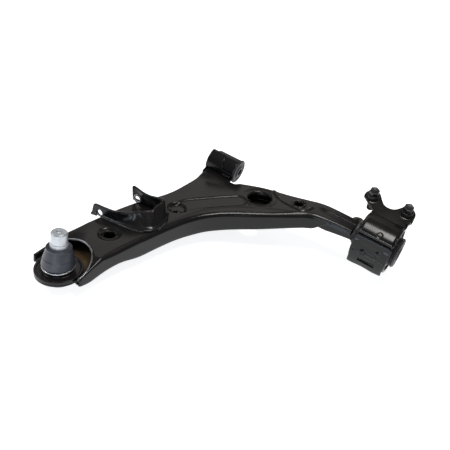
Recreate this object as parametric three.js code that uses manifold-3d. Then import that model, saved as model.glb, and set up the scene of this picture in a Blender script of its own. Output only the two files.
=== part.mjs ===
// Front lower control arm: two pressed shells, a ball joint, a link bracket and two rubber bushes.
// Millimetres, +Z up. +X runs along the pivot axis from the front bush to the rear bush, and the
// ball joint lies on the -Y side. The pressed arm is tilted a little about Y against the pivot axis.
import * as THREE from 'three';
import { mergeVertices } from 'three/addons/utils/BufferGeometryUtils.js';
import Module from 'manifold-3d';

const wasm = await Module();
wasm.setup();

// ---- Driving dimensions ----
const reach = 310.5; // ball joint to pivot axis, along Y
const span = 283; // ball joint to the end of the rear neck, along X
const armTilt = THREE.MathUtils.degToRad(8.5); // arm plate against the pivot axis
const pivotRise = 20; // pivot axis above the arm's top plane at the ball joint
const sheet = 3; // thickness of both pressed shells
const shellDepth = 24; // height of the arm's side walls
const gap = 0.3; // free space between two pieces that touch or are welded
const neckWidth = 33;
const neckDepth = 18;
const neckLip = 7; // how far the upper shell's edge reaches down over the lower shell at the neck
const neckLipStart = 22; // that edge begins this far along the neck
const cutoutRadius = 42.5; // opening in the upper shell round the ball joint
const cutoutX = -0.5; // its centre leaves a shoulder beside the near wall
const cutoutY = -1.2;
const frontNearX = 44; // front ends of the two side walls, beside the ball joint
const frontFarX = -37.8;
const upperFrontY = 4; // the upper shell's front is open up to here
const frontOpening = cutoutRadius - 7; // and the lower shell's up to here

const jointX = 3; // ball joint axis, from the arm's origin in the arm's top plane
const jointY = -5;
const studLean = THREE.MathUtils.degToRad(5.5); // lean of the stud in its socket toward the pivot axis
const flangeRadius = 31.5; // ball joint housing flange, which is also the arm's round nose
const flangeThickness = 3.2;
const flangeClearance = 2.5; // between the flange and the side walls
const housingWall = 5.5; // round the liner, below the flange
const throatWall = 1.8; // where the housing passes up inside the boot
const ballRadius = 12.7;
const linerWall = 2.2;
const ballRise = 2.5; // middle of the ball above the flange
const footDepth = 3.2; // of the recess for the cover under the ball
const coverRim = 5; // width of the housing's rim round the cover
const studRadius = 10.9;
const studCollarRadius = 11.6;
const studReach = 21; // bare stud above the boot
const bootHeight = 29;
const bootFoot = 2; // width of the boot's edge on the housing's collar
const bootBulge = 2.3; // how far the boot swells out above its clamp ring
const bootTopRadius = 16;

const frontBushX = 65; // middle of the front bush along the pivot axis
const frontTubeLength = 36;
const frontTubeRadius = 17.2;
const frontTubeWall = 2.9;
const frontSleeveLength = 45;
const frontBore = 5.2; // radius of the hole for the front bush's bolt
const frontSleeveWall = 2.8;
const frontSeat = frontTubeRadius - 9.2; // the arm's edge stops this far short of the pivot axis

const rearBushX = 318; // middle of the rear bush along the pivot axis
const rearBracketLength = 52;
const rearBushRadius = 31; // outside of the rear bush's metal sleeve
const rearSleeveWall = 2.2;
const rearPinRadius = 7.5;
const rearInnerWall = 3;
const rearEndRadius = 23; // rubber end that stands out of the bracket
const rearEndLength = 9;
const pinCollar = 3; // thickness of the pin's flange, welded to the neck
const pinPastBracket = 7;
const bracketSheet = 3.8;
const boltSpacing = 54;
const boltRadius = 5;
const boltHeadWidth = 13; // across the flats
const earRadius = 11;
const spacerHeight = 5;
const flangeRise = THREE.MathUtils.degToRad(20); // slope of the bolted flange

const linkSheet = 3.2;
const linkHeight = 22;
const linkHoleRadius = 4.6;
const linkOverhang = 24; // the near ear reaches out past the arm's edge
const linkEarDrop = 3; // and hangs below the arm's top there

// ---- Ball joint radii, each from the ball outwards ----
const cavity = ballRadius + linerWall + 2 * gap;
const housingRadius = cavity + housingWall;
const throatRadius = cavity + throatWall;
const bootBaseRadius = throatRadius + gap + bootFoot;
const bootBulgeRadius = bootBaseRadius + bootBulge;

// ---- Materials ----
function paint(color, roughness) {
  return new THREE.MeshStandardMaterial({ color, roughness, metalness: 0.25 });
}
const blackPaint = paint(0x17171a, 0.32);
const bracketPaint = paint(0x1c1c20, 0.36);
const blackRubber = new THREE.MeshStandardMaterial({ color: 0x15161a, roughness: 0.7 });
const bootRubber = new THREE.MeshStandardMaterial({ color: 0x30343e, roughness: 0.5 });
const zinc = new THREE.MeshStandardMaterial({ color: 0xb9bec6, roughness: 0.35, metalness: 0.85 });
const darkSteel = new THREE.MeshStandardMaterial({ color: 0x4a4a4e, roughness: 0.4, metalness: 0.8 });
const liner = new THREE.MeshStandardMaterial({ color: 0xd8d4c4, roughness: 0.6 });

// ---- Solids ----
const roundSides = 40; // facets round a turned piece
const holeSides = 24; // facets round a hole or a small round piece

function solidOf(geometry) {
  const bare = geometry.clone();
  bare.deleteAttribute('normal');
  bare.deleteAttribute('uv');
  const merged = mergeVertices(bare, 1e-4);
  const index = merged.index.array;
  const triangles = [];
  for (let i = 0; i < index.length; i += 3) {
    const [a, b, c] = [index[i], index[i + 1], index[i + 2]];
    if (a !== b && b !== c && c !== a) triangles.push(a, b, c);
  }
  const vertProperties = new Float32Array(merged.attributes.position.array);
  const triVerts = new Uint32Array(triangles);
  return new wasm.Manifold(new wasm.Mesh({ numProp: 3, vertProperties, triVerts }));
}

function geometryOf(solid) {
  const mesh = solid.getMesh();
  const geometry = new THREE.BufferGeometry();
  geometry.setAttribute('position', new THREE.BufferAttribute(new Float32Array(mesh.vertProperties), 3));
  geometry.setIndex(new THREE.BufferAttribute(new Uint32Array(mesh.triVerts), 1));
  geometry.computeVertexNormals();
  return geometry;
}

function join(first, ...others) {
  return others.reduce((sum, next) => sum.add(solidOf(next)), solidOf(first));
}

function cut(solid, ...cutters) {
  return cutters.reduce((rest, next) => rest.subtract(solidOf(next)), solid);
}

// A flat outline [x, y] raised from zLow to zHigh.
function prism(outline, zLow, zHigh) {
  const shape = new THREE.Shape(outline.map(([x, y]) => new THREE.Vector2(x, y)));
  const geometry = new THREE.ExtrudeGeometry(shape, { depth: zHigh - zLow, bevelEnabled: false });
  return geometry.translate(0, 0, zLow);
}

// An outline in the Y-Z plane carried along X from xLow to xHigh.
function prismAlongX(outline, xLow, xHigh) {
  const turn = new THREE.Matrix4().set(0, 0, 1, 0, 1, 0, 0, 0, 0, 1, 0, 0, 0, 0, 0, 1);
  return prism(outline, xLow, xHigh).applyMatrix4(turn);
}

// A closed [radius, height] profile turned about Z, counted so that its faces point out.
function turned(profile, segments = roundSides) {
  const closed = [...profile, profile[0]];
  let area = 0;
  for (let i = 0; i + 1 < closed.length; i += 1) {
    area += closed[i][0] * closed[i + 1][1] - closed[i + 1][0] * closed[i][1];
  }
  const ordered = area > 0 ? closed : closed.reverse();
  const onAxis = profile[0][0] === 0 && profile.at(-1)[0] === 0;
  const used = onAxis ? (area > 0 ? profile : [...profile].reverse()) : ordered;
  const points = used.map(([radius, height]) => new THREE.Vector2(radius, height));
  return new THREE.LatheGeometry(points, segments).rotateX(Math.PI / 2);
}

// The same profile turned about X, with heights running along +X.
function turnedAlongX(profile, segments = roundSides) {
  return turned(profile, segments).rotateY(Math.PI / 2);
}

function tubeProfile(inner, outer, low, high) {
  return [[inner, low], [outer, low], [outer, high], [inner, high]];
}

function rod(radius, low, high, x = 0, y = 0, segments = holeSides) {
  return turned([[0, low], [radius, low], [radius, high], [0, high]], segments).translate(x, y, 0);
}

function arcPoints(radius, startDeg, endDeg, steps) {
  return Array.from({ length: steps + 1 }, (_, i) => {
    const angle = THREE.MathUtils.degToRad(startDeg + ((endDeg - startDeg) * i) / steps);
    return [radius * Math.cos(angle), radius * Math.sin(angle)];
  });
}

function smoothCurve(points, steps) {
  const curve = new THREE.SplineCurve(points.map(([x, y]) => new THREE.Vector2(x, y)));
  return curve.getPoints(steps).map((p) => [p.x, p.y]);
}

// Moves every point of a closed anticlockwise outline inwards by a distance.
function inset(outline, distance) {
  const count = outline.length;
  return outline.map(([x, y], i) => {
    const [px, py] = outline[(i + count - 1) % count];
    const [nx, ny] = outline[(i + 1) % count];
    const before = new THREE.Vector2(x - px, y - py).normalize();
    const after = new THREE.Vector2(nx - x, ny - y).normalize();
    const normal = new THREE.Vector2(-before.y - after.y, before.x + after.x).normalize();
    const scale = distance / Math.max(0.5, normal.x * -before.y + normal.y * before.x);
    return [x + normal.x * scale, y + normal.y * scale];
  });
}

// A sheet of even thickness along an open path in a plane.
function band(path, thickness) {
  const side = (offset) => path.map(([x, y], i) => {
    const [px, py] = path[Math.max(0, i - 1)];
    const [nx, ny] = path[Math.min(path.length - 1, i + 1)];
    const along = new THREE.Vector2(nx - px, ny - py).normalize();
    return [x - along.y * offset, y + along.x * offset];
  });
  return [...side(-thickness / 2), ...side(thickness / 2).reverse()];
}

const group = new THREE.Group();
const arm = new THREE.Group(); // the arm's own plane, tilted against the pivot axis
arm.rotation.y = -armTilt;
group.add(arm);
const ballJoint = new THREE.Group(); // Z square to the arm, origin level with its top plane
ballJoint.position.set(jointX, jointY, 0);
arm.add(ballJoint);
const pivot = new THREE.Group(); // X along the pivot axis
pivot.position.set(0, reach, pivotRise);
group.add(pivot);

function addPiece(parent, name, geometry, material) {
  const mesh = new THREE.Mesh(geometry, material);
  mesh.name = name;
  parent.add(mesh);
  return mesh;
}

// ---- The arm's outline and height ----
// Heights and places are in the arm's own plane, where the pivot axis slopes down to the rear.
const axisHeight = (x) => (pivotRise - Math.sin(armTilt) * x) / Math.cos(armTilt);
const neckStart = 0.76 * span;
const neckTop = axisHeight(span) + neckDepth / 2;
const tubeLeft = frontBushX - frontTubeLength / 2;
const tubeRight = frontBushX + frontTubeLength / 2;

// A curve cut into equal lengths, so that both edges of the arm can be joined point by point.
function evenPoints(points, count) {
  const path = new THREE.CurvePath();
  points.slice(1).forEach(([x, y], i) => {
    path.add(new THREE.LineCurve(new THREE.Vector2(...points[i]), new THREE.Vector2(x, y)));
  });
  return path.getSpacedPoints(count).map((p) => [p.x, p.y]);
}

const trimMargin = 4; // a cutter stands this far out of what it cuts
const stations = 36;
const nearCurve = smoothCurve([
  [frontNearX, -14],
  [frontNearX + 6.5, 25],
  [0.216 * span, 0.232 * reach],
  [0.269 * span, 0.409 * reach],
  [0.329 * span, 0.554 * reach],
  [0.417 * span, 0.657 * reach],
  [0.583 * span, 0.763 * reach],
  [0.76 * span, 0.882 * reach],
  [0.85 * span, reach - neckWidth / 2 - 8],
  [span, reach - neckWidth / 2],
], 80);
const farCurveFront = smoothCurve([
  [frontFarX, -5.5],
  [frontFarX + 6.8, 38],
  [-0.053 * span, 0.322 * reach],
  [0.005 * span, 0.5 * reach],
  [0.09 * span, 0.663 * reach],
  [tubeLeft - 13, 0.79 * reach],
  [tubeLeft - 9, reach - frontSeat],
], 50);
const farCurveRear = smoothCurve([
  [tubeRight + 15, reach - frontSeat - 5.5],
  [0.47 * span, reach - 3],
  [0.62 * span, reach + 2],
  [0.79 * span, reach + neckWidth / 2 - 6],
  [span, reach + neckWidth / 2],
], 40);
const nearEdge = evenPoints(nearCurve, stations);
const farEdge = evenPoints([...farCurveFront, ...farCurveRear], stations);
const outline = [...nearEdge, ...[...farEdge].reverse()];

// Where the arm's far edge is at a given distance from the ball joint.
function farEdgeAt(y) {
  const after = farCurveFront.findIndex((point) => point[1] > y);
  return farCurveFront[after][0];
}

// The top drops down the neck to the pivot axis, towards both front corners of the ball joint
// end, and rises a little to meet the front bush's tube.
function ramp(value, from, to) {
  return THREE.MathUtils.smoothstep((value - from) / (to - from), 0, 1);
}
function slope(value, from, to) {
  return THREE.MathUtils.clamp((value - from) / (to - from), 0, 1);
}
function topHeight(x, y) {
  const neck = neckTop * slope(x, neckStart, span) ** 1.25;
  const farCorner = -9 * slope(y, 80, -10) * ramp(x, 10, -20);
  const nearCorner = -13 * slope(y, 24, -14) * ramp(x, 20, 44);
  const saddle = 6 * ramp(y, reach - 45, reach - 15) * ramp(x, tubeRight + 12, tubeLeft);
  return neck + farCorner + nearCorner + saddle;
}
function bottomHeight(x) {
  const neck = slope(x, neckStart, span) ** 1.25;
  return -shellDepth + neck * (neckTop - neckDepth + shellDepth);
}

// A closed solid between the two edges of an outline, from one height rule down to another.
function loft(edge, top, bottom, across = 5) {
  const rows = edge.length / 2;
  const near = edge.slice(0, rows);
  const far = edge.slice(rows).reverse();
  const positions = [];
  for (const height of [top, bottom]) {
    for (let i = 0; i < rows; i += 1) {
      for (let j = 0; j <= across; j += 1) {
        const x = THREE.MathUtils.lerp(near[i][0], far[i][0], j / across);
        const y = THREE.MathUtils.lerp(near[i][1], far[i][1], j / across);
        positions.push(x, y, height(x, y));
      }
    }
  }
  const at = (layer, i, j) => layer * rows * (across + 1) + i * (across + 1) + j;
  const index = [];
  const quad = (a, b, c, d) => index.push(a, b, c, a, c, d);
  for (let i = 0; i + 1 < rows; i += 1) {
    for (let j = 0; j < across; j += 1) {
      quad(at(0, i, j), at(0, i + 1, j), at(0, i + 1, j + 1), at(0, i, j + 1));
      quad(at(1, i, j), at(1, i, j + 1), at(1, i + 1, j + 1), at(1, i + 1, j));
    }
    quad(at(1, i, 0), at(1, i + 1, 0), at(0, i + 1, 0), at(0, i, 0));
    quad(at(1, i + 1, across), at(1, i, across), at(0, i, across), at(0, i + 1, across));
  }
  for (let j = 0; j < across; j += 1) {
    quad(at(1, 0, j + 1), at(1, 0, j), at(0, 0, j), at(0, 0, j + 1));
    quad(at(1, rows - 1, j), at(1, rows - 1, j + 1), at(0, rows - 1, j + 1), at(0, rows - 1, j));
  }
  const geometry = new THREE.BufferGeometry();
  geometry.setAttribute('position', new THREE.Float32BufferAttribute(positions, 3));
  geometry.setIndex(index);
  return geometry;
}
const lowered = (rule, distance) => (x, y) => rule(x, y) - distance;

// ---- Holes through the top and, where they are seen through, the floor ----
const bigHole = { x: 0.506 * span, y: 0.887 * reach, upper: 17, lower: 15 };
const drainHole = { x: 0.251 * span, y: 0.577 * reach, upper: 3, lower: 9 };
const boltAccess = { x: 0.08 * span, y: 0.241 * reach, upper: 8 };
const locator = { x: 0.219 * span, y: 0.565 * reach, upper: 3.4 };
const rearHole = { x: 0.699 * span, y: 0.946 * reach, upper: 6.3 };
const floorHoleShift = { x: 3, y: 14 }; // the floor's holes lie nearer to the ball joint
const lipClearance = frontTubeRadius + 2;
const tubeClearance = turnedAlongX([
  [2, tubeLeft - 20],
  [lipClearance, tubeLeft - 20],
  [lipClearance, tubeLeft + gap],
  [frontTubeRadius + gap, tubeLeft + gap],
  [frontTubeRadius + gap, tubeRight - gap],
  [lipClearance, tubeRight - gap],
  [lipClearance, tubeRight + 20],
  [2, tubeRight + 20],
]).applyMatrix4(new THREE.Matrix4()
  .makeRotationY(armTilt)
  .multiply(new THREE.Matrix4().makeTranslation(0, reach, pivotRise)));

function openFront(back, low, high) {
  return prism([
    [frontFarX + sheet, -60],
    [frontNearX - sheet, -60],
    [frontNearX - sheet, back],
    [frontFarX + sheet, back],
  ], low, high);
}

function upperShell() {
  const outer = loft(outline, topHeight, bottomHeight);
  const inner = loft(inset(outline, sheet), lowered(topHeight, sheet), lowered(bottomHeight, 2));
  const firstNeckStation = nearEdge.findIndex(([x]) => x > neckStart + neckLipStart);
  const neckOutline = inset(outline, -trimMargin);
  const neckNear = neckOutline.slice(firstNeckStation, stations + 1);
  const neckFar = neckOutline.slice(stations + 1, 2 * stations + 2 - firstNeckStation);
  const neckEdge = [...neckNear, ...neckFar];
  const neckTrim = loft(neckEdge, lowered(topHeight, neckLip), lowered(bottomHeight, trimMargin));
  const holes = [bigHole, drainHole, boltAccess, locator, rearHole].map(
    (hole) => rod(hole.upper, -sheet - 2 * trimMargin, 2 * trimMargin, hole.x, hole.y),
  );
  const cutout = rod(cutoutRadius, -sheet - trimMargin, 3, cutoutX, cutoutY, roundSides);
  const nearFloor = topHeight(frontNearX, -14) - sheet - trimMargin;
  const nearCutout = prism(arcPoints(cutoutRadius, -90, 90, roundSides / 2), nearFloor, 3)
    .translate(cutoutX, cutoutY, 0);
  const flangeRoom = rod(flangeRadius + flangeClearance, -shellDepth - 1, 3, jointX, jointY, roundSides);
  const front = openFront(upperFrontY, -shellDepth - 1, 1);
  return cut(solidOf(outer), inner, front, flangeRoom, neckTrim, cutout, nearCutout, tubeClearance, ...holes);
}

function lowerShell() {
  const body = inset(outline, sheet + gap);
  const channel = loft(body, lowered(topHeight, sheet + gap + 1), bottomHeight);
  const hollow = loft(inset(body, sheet), lowered(topHeight, -5), lowered(bottomHeight, -sheet));
  const floorTop = -shellDepth + sheet;
  const front = prism([
    [frontFarX - 20, -60],
    [frontNearX + 20, -60],
    [frontNearX + 20, frontOpening],
    [frontFarX - 20, frontOpening],
  ], floorTop, 1);
  const nose = rod(flangeRadius, -shellDepth, floorTop, jointX, jointY, roundSides);
  const seat = rod(housingRadius + gap, -shellDepth - 1, 1, jointX, jointY, roundSides);
  const holes = [bigHole, drainHole].map(
    (hole) => rod(hole.lower, -shellDepth - 1, 1, hole.x - floorHoleShift.x, hole.y - floorHoleShift.y),
  );
  const trimmed = cut(solidOf(channel), hollow, front).add(solidOf(nose));
  return cut(trimmed, seat, tubeClearance, ...holes);
}

addPiece(arm, 'upper_shell', geometryOf(upperShell()), blackPaint);
addPiece(arm, 'lower_shell', geometryOf(lowerShell()), blackPaint);

// ---- Ball joint, from the foot up; heights are measured from the arm's top plane ----
const flangeLow = -shellDepth + sheet + gap;
const flangeHigh = flangeLow + flangeThickness;
const ballCentre = flangeHigh + ballRise;
const housingFoot = ballCentre - cavity - footDepth;
const mouthAngle = 37; // above the ball's middle, where the housing opens out for the stud's tilt
const mouth = cavity * Math.cos(THREE.MathUtils.degToRad(mouthAngle));
const mouthFlare = 1.4;
const throatTop = ballCentre + 10.5;
const collarHeight = flangeHigh + 4;
const bootBase = collarHeight + gap;
const bootTop = bootBase + bootHeight;
const bootSplit = bootBase + 0.5 * bootHeight;
const studTop = bootTop + studReach;

function sphereArc(radius, startDeg, endDeg, steps) {
  return arcPoints(radius, startDeg, endDeg, steps).map(([r, h]) => [Math.max(0, r), ballCentre + h]);
}

const housing = turned([
  ...sphereArc(cavity, -62, mouthAngle, 6),
  [mouth + mouthFlare, throatTop],
  [throatRadius - 0.9, throatTop],
  [throatRadius, collarHeight],
  [bootBaseRadius + 0.6, collarHeight],
  [bootBaseRadius + 0.6, flangeHigh],
  [flangeRadius - 0.8, flangeHigh],
  [flangeRadius, flangeHigh - 0.8],
  [flangeRadius, flangeLow],
  [housingRadius, flangeLow],
  [housingRadius, housingFoot + 2],
  [housingRadius - 2, housingFoot],
  [housingRadius - coverRim, housingFoot],
  [housingRadius - coverRim, housingFoot + footDepth],
]);
addPiece(ballJoint, 'ball_joint_housing', housing, blackPaint);

const cover = turned([
  [0, housingFoot + 0.6],
  [housingRadius - coverRim - 1, housingFoot + 0.6],
  [housingRadius - coverRim - gap, housingFoot + 1.2],
  [housingRadius - coverRim - gap, housingFoot + footDepth - gap],
  [0, housingFoot + footDepth - gap],
]);
addPiece(ballJoint, 'ball_joint_cover', cover, darkSteel);

const linerAngle = 38; // above and below the ball's middle
const ballLiner = turned([
  ...sphereArc(cavity - gap, -linerAngle, linerAngle, 5),
  ...sphereArc(ballRadius + gap, linerAngle, -linerAngle, 5),
], holeSides);
addPiece(ballJoint, 'ball_liner', ballLiner, liner);

// The stud leans in its socket, turned about the middle of the ball; the boot leans with it from
// nothing at its foot to all of it at its lip.
function leaned(geometry, weight) {
  const position = geometry.attributes.position;
  const point = new THREE.Vector3();
  const middle = new THREE.Vector3(0, 0, ballCentre);
  const axis = new THREE.Vector3(1, 0, 0);
  for (let i = 0; i < position.count; i += 1) {
    point.fromBufferAttribute(position, i).sub(middle);
    point.applyAxisAngle(axis, -studLean * weight(point.z + ballCentre)).add(middle);
    position.setXYZ(i, point.x, point.y, point.z);
  }
  geometry.computeVertexNormals();
  return geometry;
}
const whole = () => 1;
const alongBoot = (height) => THREE.MathUtils.smoothstep(height, bootBase + 2, bootTop - 8);
const studNeck = 6.8;
const neckAngle = THREE.MathUtils.radToDeg(Math.acos(studNeck / ballRadius));
const stud = join(turned([
  ...sphereArc(ballRadius, -90, neckAngle, 8),
  [studNeck, ballCentre + ballRadius + 5],
  [studRadius - 1.5, bootTop - 9],
  [studCollarRadius - 1.3, bootTop - 1],
  [studCollarRadius, bootTop],
  [studCollarRadius, bootTop + 7.3],
  [studRadius, bootTop + 7.6],
  [studRadius, studTop - 1.4],
  [studRadius - 1.4, studTop],
  [3.4, studTop],
  [2.2, studTop - 2.2],
  [0, studTop - 4],
], holeSides));
addPiece(ballJoint, 'ball_stud', leaned(geometryOf(stud), whole), zinc);

// The rubber boot is one moulding in two lengths, so that it can follow the stud's tilt.
const bootWall = 2.4;
const bootMiddleRadius = 0.5 * (bootBulgeRadius + bootTopRadius) + 1.6;
const bootLower = turned([
  [throatRadius + gap, bootBase],
  [bootBaseRadius, bootBase],
  [bootBaseRadius, bootBase + 2.8],
  [bootBulgeRadius, bootBase + 4.5],
  [bootMiddleRadius, bootSplit - gap / 2],
  [bootMiddleRadius - bootWall, bootSplit - gap / 2],
  [bootBulgeRadius - bootWall, bootBase + 5.2],
  [throatRadius + gap, bootBase + 3.4],
]);
addPiece(ballJoint, 'boot_lower', leaned(bootLower, alongBoot), bootRubber);
const sealWall = 2.5;
const sealOuter = studCollarRadius + gap + sealWall;
const bootUpper = turned([
  [bootMiddleRadius - bootWall, bootSplit + gap / 2],
  [bootMiddleRadius, bootSplit + gap / 2],
  [bootTopRadius + 0.6, bootTop - 4],
  [bootTopRadius, bootTop - 1],
  [sealOuter + gap, bootTop - 1],
  [sealOuter + gap, bootTop - 5.5],
  [bootTopRadius - 2, bootTop - 8],
]);
addPiece(ballJoint, 'boot_upper', leaned(bootUpper, alongBoot), bootRubber);
const seal = turned(tubeProfile(studCollarRadius + gap, sealOuter, bootTop - 4.8, bootTop - 0.4));
addPiece(ballJoint, 'boot_seal_ring', leaned(seal, whole), bootRubber);
const clampWire = 1.1; // radius of the clamp ring's wire
const clampRing = turned(
  arcPoints(clampWire, 0, 300, 5)
    .map(([r, h]) => [bootBaseRadius + clampWire + gap + r, bootBase + gap + clampWire + h]),
);
addPiece(ballJoint, 'boot_clamp_ring', clampRing, zinc);

// ---- Front bush, along the pivot axis ----
const tubeBore = frontTubeRadius - frontTubeWall;
const frontInner = frontBore + frontSleeveWall;
const frontOuterSleeve = tubeBore - gap;
const pressedWall = 1.4; // of the sleeve pressed into the tube
const frontRubberOuter = frontOuterSleeve - pressedWall - gap;
const frontSleeveLeft = frontBushX - frontSleeveLength / 2;
const frontSleeveRight = frontBushX + frontSleeveLength / 2;
const lipWidth = 2.4;
addPiece(pivot, 'front_bush_tube', turnedAlongX([
  [tubeBore, tubeLeft],
  [frontTubeRadius, tubeLeft],
  [frontTubeRadius, tubeRight],
  [tubeBore, tubeRight],
]), blackPaint);
addPiece(pivot, 'front_bush_outer_sleeve', turnedAlongX(
  tubeProfile(frontOuterSleeve - pressedWall, frontOuterSleeve, tubeLeft + 0.5, tubeRight - 0.5),
), darkSteel);
addPiece(pivot, 'front_bush_rubber', turnedAlongX([
  [frontInner + gap, tubeLeft - lipWidth - 1],
  [frontTubeRadius - 3.5, tubeLeft - lipWidth - 0.6],
  [frontTubeRadius - 0.6, tubeLeft - lipWidth + 0.6],
  [frontTubeRadius - 0.6, tubeLeft - gap],
  [frontRubberOuter, tubeLeft - gap],
  [frontRubberOuter, tubeRight + gap],
  [frontTubeRadius + 1.1, tubeRight + gap],
  [frontTubeRadius + 1.1, tubeRight + gap + 1.6],
  [frontTubeRadius - 3, tubeRight + lipWidth + 0.8],
  [frontInner + gap, tubeRight + lipWidth + 1.4],
]), blackRubber);
addPiece(pivot, 'front_bush_inner_sleeve', turnedAlongX(
  tubeProfile(frontBore, frontInner, frontSleeveLeft, frontSleeveRight), holeSides,
), darkSteel);

// ---- Rear pin, bush and bracket, along the pivot axis ----
const bracketLeft = rearBushX - rearBracketLength / 2;
const bracketRight = rearBushX + rearBracketLength / 2;
const neckEndX = Math.max(
  span * Math.cos(armTilt) - neckTop * Math.sin(armTilt),
  span * Math.cos(armTilt) - (neckTop - neckDepth) * Math.sin(armTilt),
);
const pinFlange = neckEndX + gap;
const pinEnd = bracketRight + pinPastBracket;
const pin = turnedAlongX([
  [0, pinFlange],
  [neckWidth / 2 + 1, pinFlange],
  [neckWidth / 2 + 1, pinFlange + pinCollar],
  [rearPinRadius, pinFlange + pinCollar],
  [rearPinRadius, pinEnd - 1],
  [rearPinRadius - 1, pinEnd],
  [0, pinEnd],
]);
addPiece(pivot, 'rear_pin', pin, darkSteel);
const rearInnerBore = rearPinRadius + gap;
const rearInnerOuter = rearInnerBore + rearInnerWall;
const washerX = pinFlange + pinCollar + gap;
const washerWall = 1.8;
addPiece(pivot, 'rear_stop_washer', turnedAlongX([
  [rearInnerBore, washerX],
  [rearEndRadius - 3, washerX],
  [rearEndRadius, washerX + 1.6],
  [rearEndRadius, washerX + 3.2],
  [rearEndRadius - 3.6, washerX + washerWall],
  [rearInnerBore, washerX + washerWall],
]), darkSteel);
const innerLeft = washerX + washerWall + gap;
addPiece(pivot, 'rear_bush_inner_sleeve', turnedAlongX(
  tubeProfile(rearInnerBore, rearInnerOuter, innerLeft, pinEnd - 1.5), holeSides,
), darkSteel);
const rearSleeveInner = rearBushRadius - rearSleeveWall;
addPiece(pivot, 'rear_bush_rubber', turnedAlongX([
  [rearInnerOuter + gap, innerLeft + 1.6],
  [rearEndRadius - 4, innerLeft + 1.8],
  [rearSleeveInner - gap, bracketLeft + 4],
  [rearSleeveInner - gap, bracketRight - 1],
  [rearEndRadius, bracketRight + 0.6],
  [rearEndRadius, bracketRight + rearEndLength - 2],
  [rearEndRadius - 2.5, bracketRight + rearEndLength],
  [rearInnerOuter + gap, bracketRight + rearEndLength],
]), blackRubber);
addPiece(pivot, 'rear_bush_outer_sleeve', turnedAlongX(
  tubeProfile(rearSleeveInner, rearBushRadius, bracketLeft + 1, bracketRight - 1),
), darkSteel);

const bracketMid = rearBushRadius + gap + bracketSheet / 2;
const bendDeg = 51; // the strap leaves the bush here, counted from +Y upwards
const ridgeDeg = 138; // and ends in a ridge here
const strapLip = 4.2; // length of the strap's turned-up edge beyond the ridge
const rad = THREE.MathUtils.degToRad;
const bend = [bracketMid * Math.cos(rad(bendDeg)), bracketMid * Math.sin(rad(bendDeg))];
const ridge = [bracketMid * Math.cos(rad(ridgeDeg)), bracketMid * Math.sin(rad(ridgeDeg))];
const flangeReach = 27; // bend to the bolts
const outward = [Math.cos(flangeRise), Math.sin(flangeRise)];
const strap = prismAlongX(band([
  [ridge[0] + strapLip * Math.cos(rad(ridgeDeg)) - 1.2, ridge[1] + 2.2],
  ...arcPoints(bracketMid, ridgeDeg, bendDeg, 12),
  [bend[0] + 6 * outward[0], bend[1] + 6 * outward[1]],
], bracketSheet), bracketLeft, bracketRight);

// The bolted flange lies in its own plane: x along the pivot axis, y away from the bush.
const boltX = [bracketLeft - earRadius, bracketLeft - earRadius + boltSpacing];
const earAround = (x, startDeg, endDeg) => arcPoints(earRadius, startDeg, endDeg, 8)
  .map(([u, v]) => [x + u, flangeReach + v]);
const flangePlan = [
  [bracketLeft, 2],
  [bracketRight, 2],
  [bracketRight + 3, 10],
  ...earAround(boltX[1], -10, 110),
  ...smoothCurve([
    [boltX[1] - 10, flangeReach + 4],
    [boltX[1] - 24, flangeReach - 7],
    [boltX[0] + 20, flangeReach - 6],
    [boltX[0] + 10, flangeReach + 3],
  ], 8),
  ...earAround(boltX[0], 60, 205),
];
const flangeFrame = new THREE.Matrix4().makeTranslation(0, bend[0], bend[1])
  .multiply(new THREE.Matrix4().makeRotationX(flangeRise));
const flangePlate = prism(flangePlan, -bracketSheet / 2, bracketSheet / 2);
const boltHoles = boltX.map((x) => rod(boltRadius + gap, -9, 9, x, flangeReach));
const strapSolid = cut(
  join(strap, flangePlate.applyMatrix4(flangeFrame)),
  ...boltHoles.map((hole) => hole.applyMatrix4(flangeFrame)),
);
addPiece(pivot, 'rear_bracket_strap', geometryOf(strapSolid), bracketPaint);

const saddle = prismAlongX(band(
  arcPoints(bracketMid, ridgeDeg + 8, 360 + bendDeg - 12, 22), bracketSheet,
), bracketLeft, bracketRight);
const skirtStart = 190; // the skirt flares out below the saddle's open side
const skirtEnd = 214;
const skirtRadius = bracketMid + 6;
const skirt = prismAlongX(band([
  ...arcPoints(bracketMid + 1, skirtStart, skirtEnd, 4),
  [skirtRadius * Math.cos(rad(skirtEnd + 8)), skirtRadius * Math.sin(rad(skirtEnd + 8))],
], bracketSheet), bracketLeft - 1, bracketRight);
const slotLow = -18; // heights from the pivot axis
const slotHigh = -12.5;
const slot = prismAlongX([
  [-2 * bracketMid, slotLow],
  [-bracketMid / 2, slotLow],
  [-bracketMid / 2, slotHigh],
  [-2 * bracketMid, slotHigh],
], rearBushX - 12, rearBushX + 14);
addPiece(pivot, 'rear_bracket_saddle', geometryOf(cut(join(saddle, skirt), slot)), bracketPaint);

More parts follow.
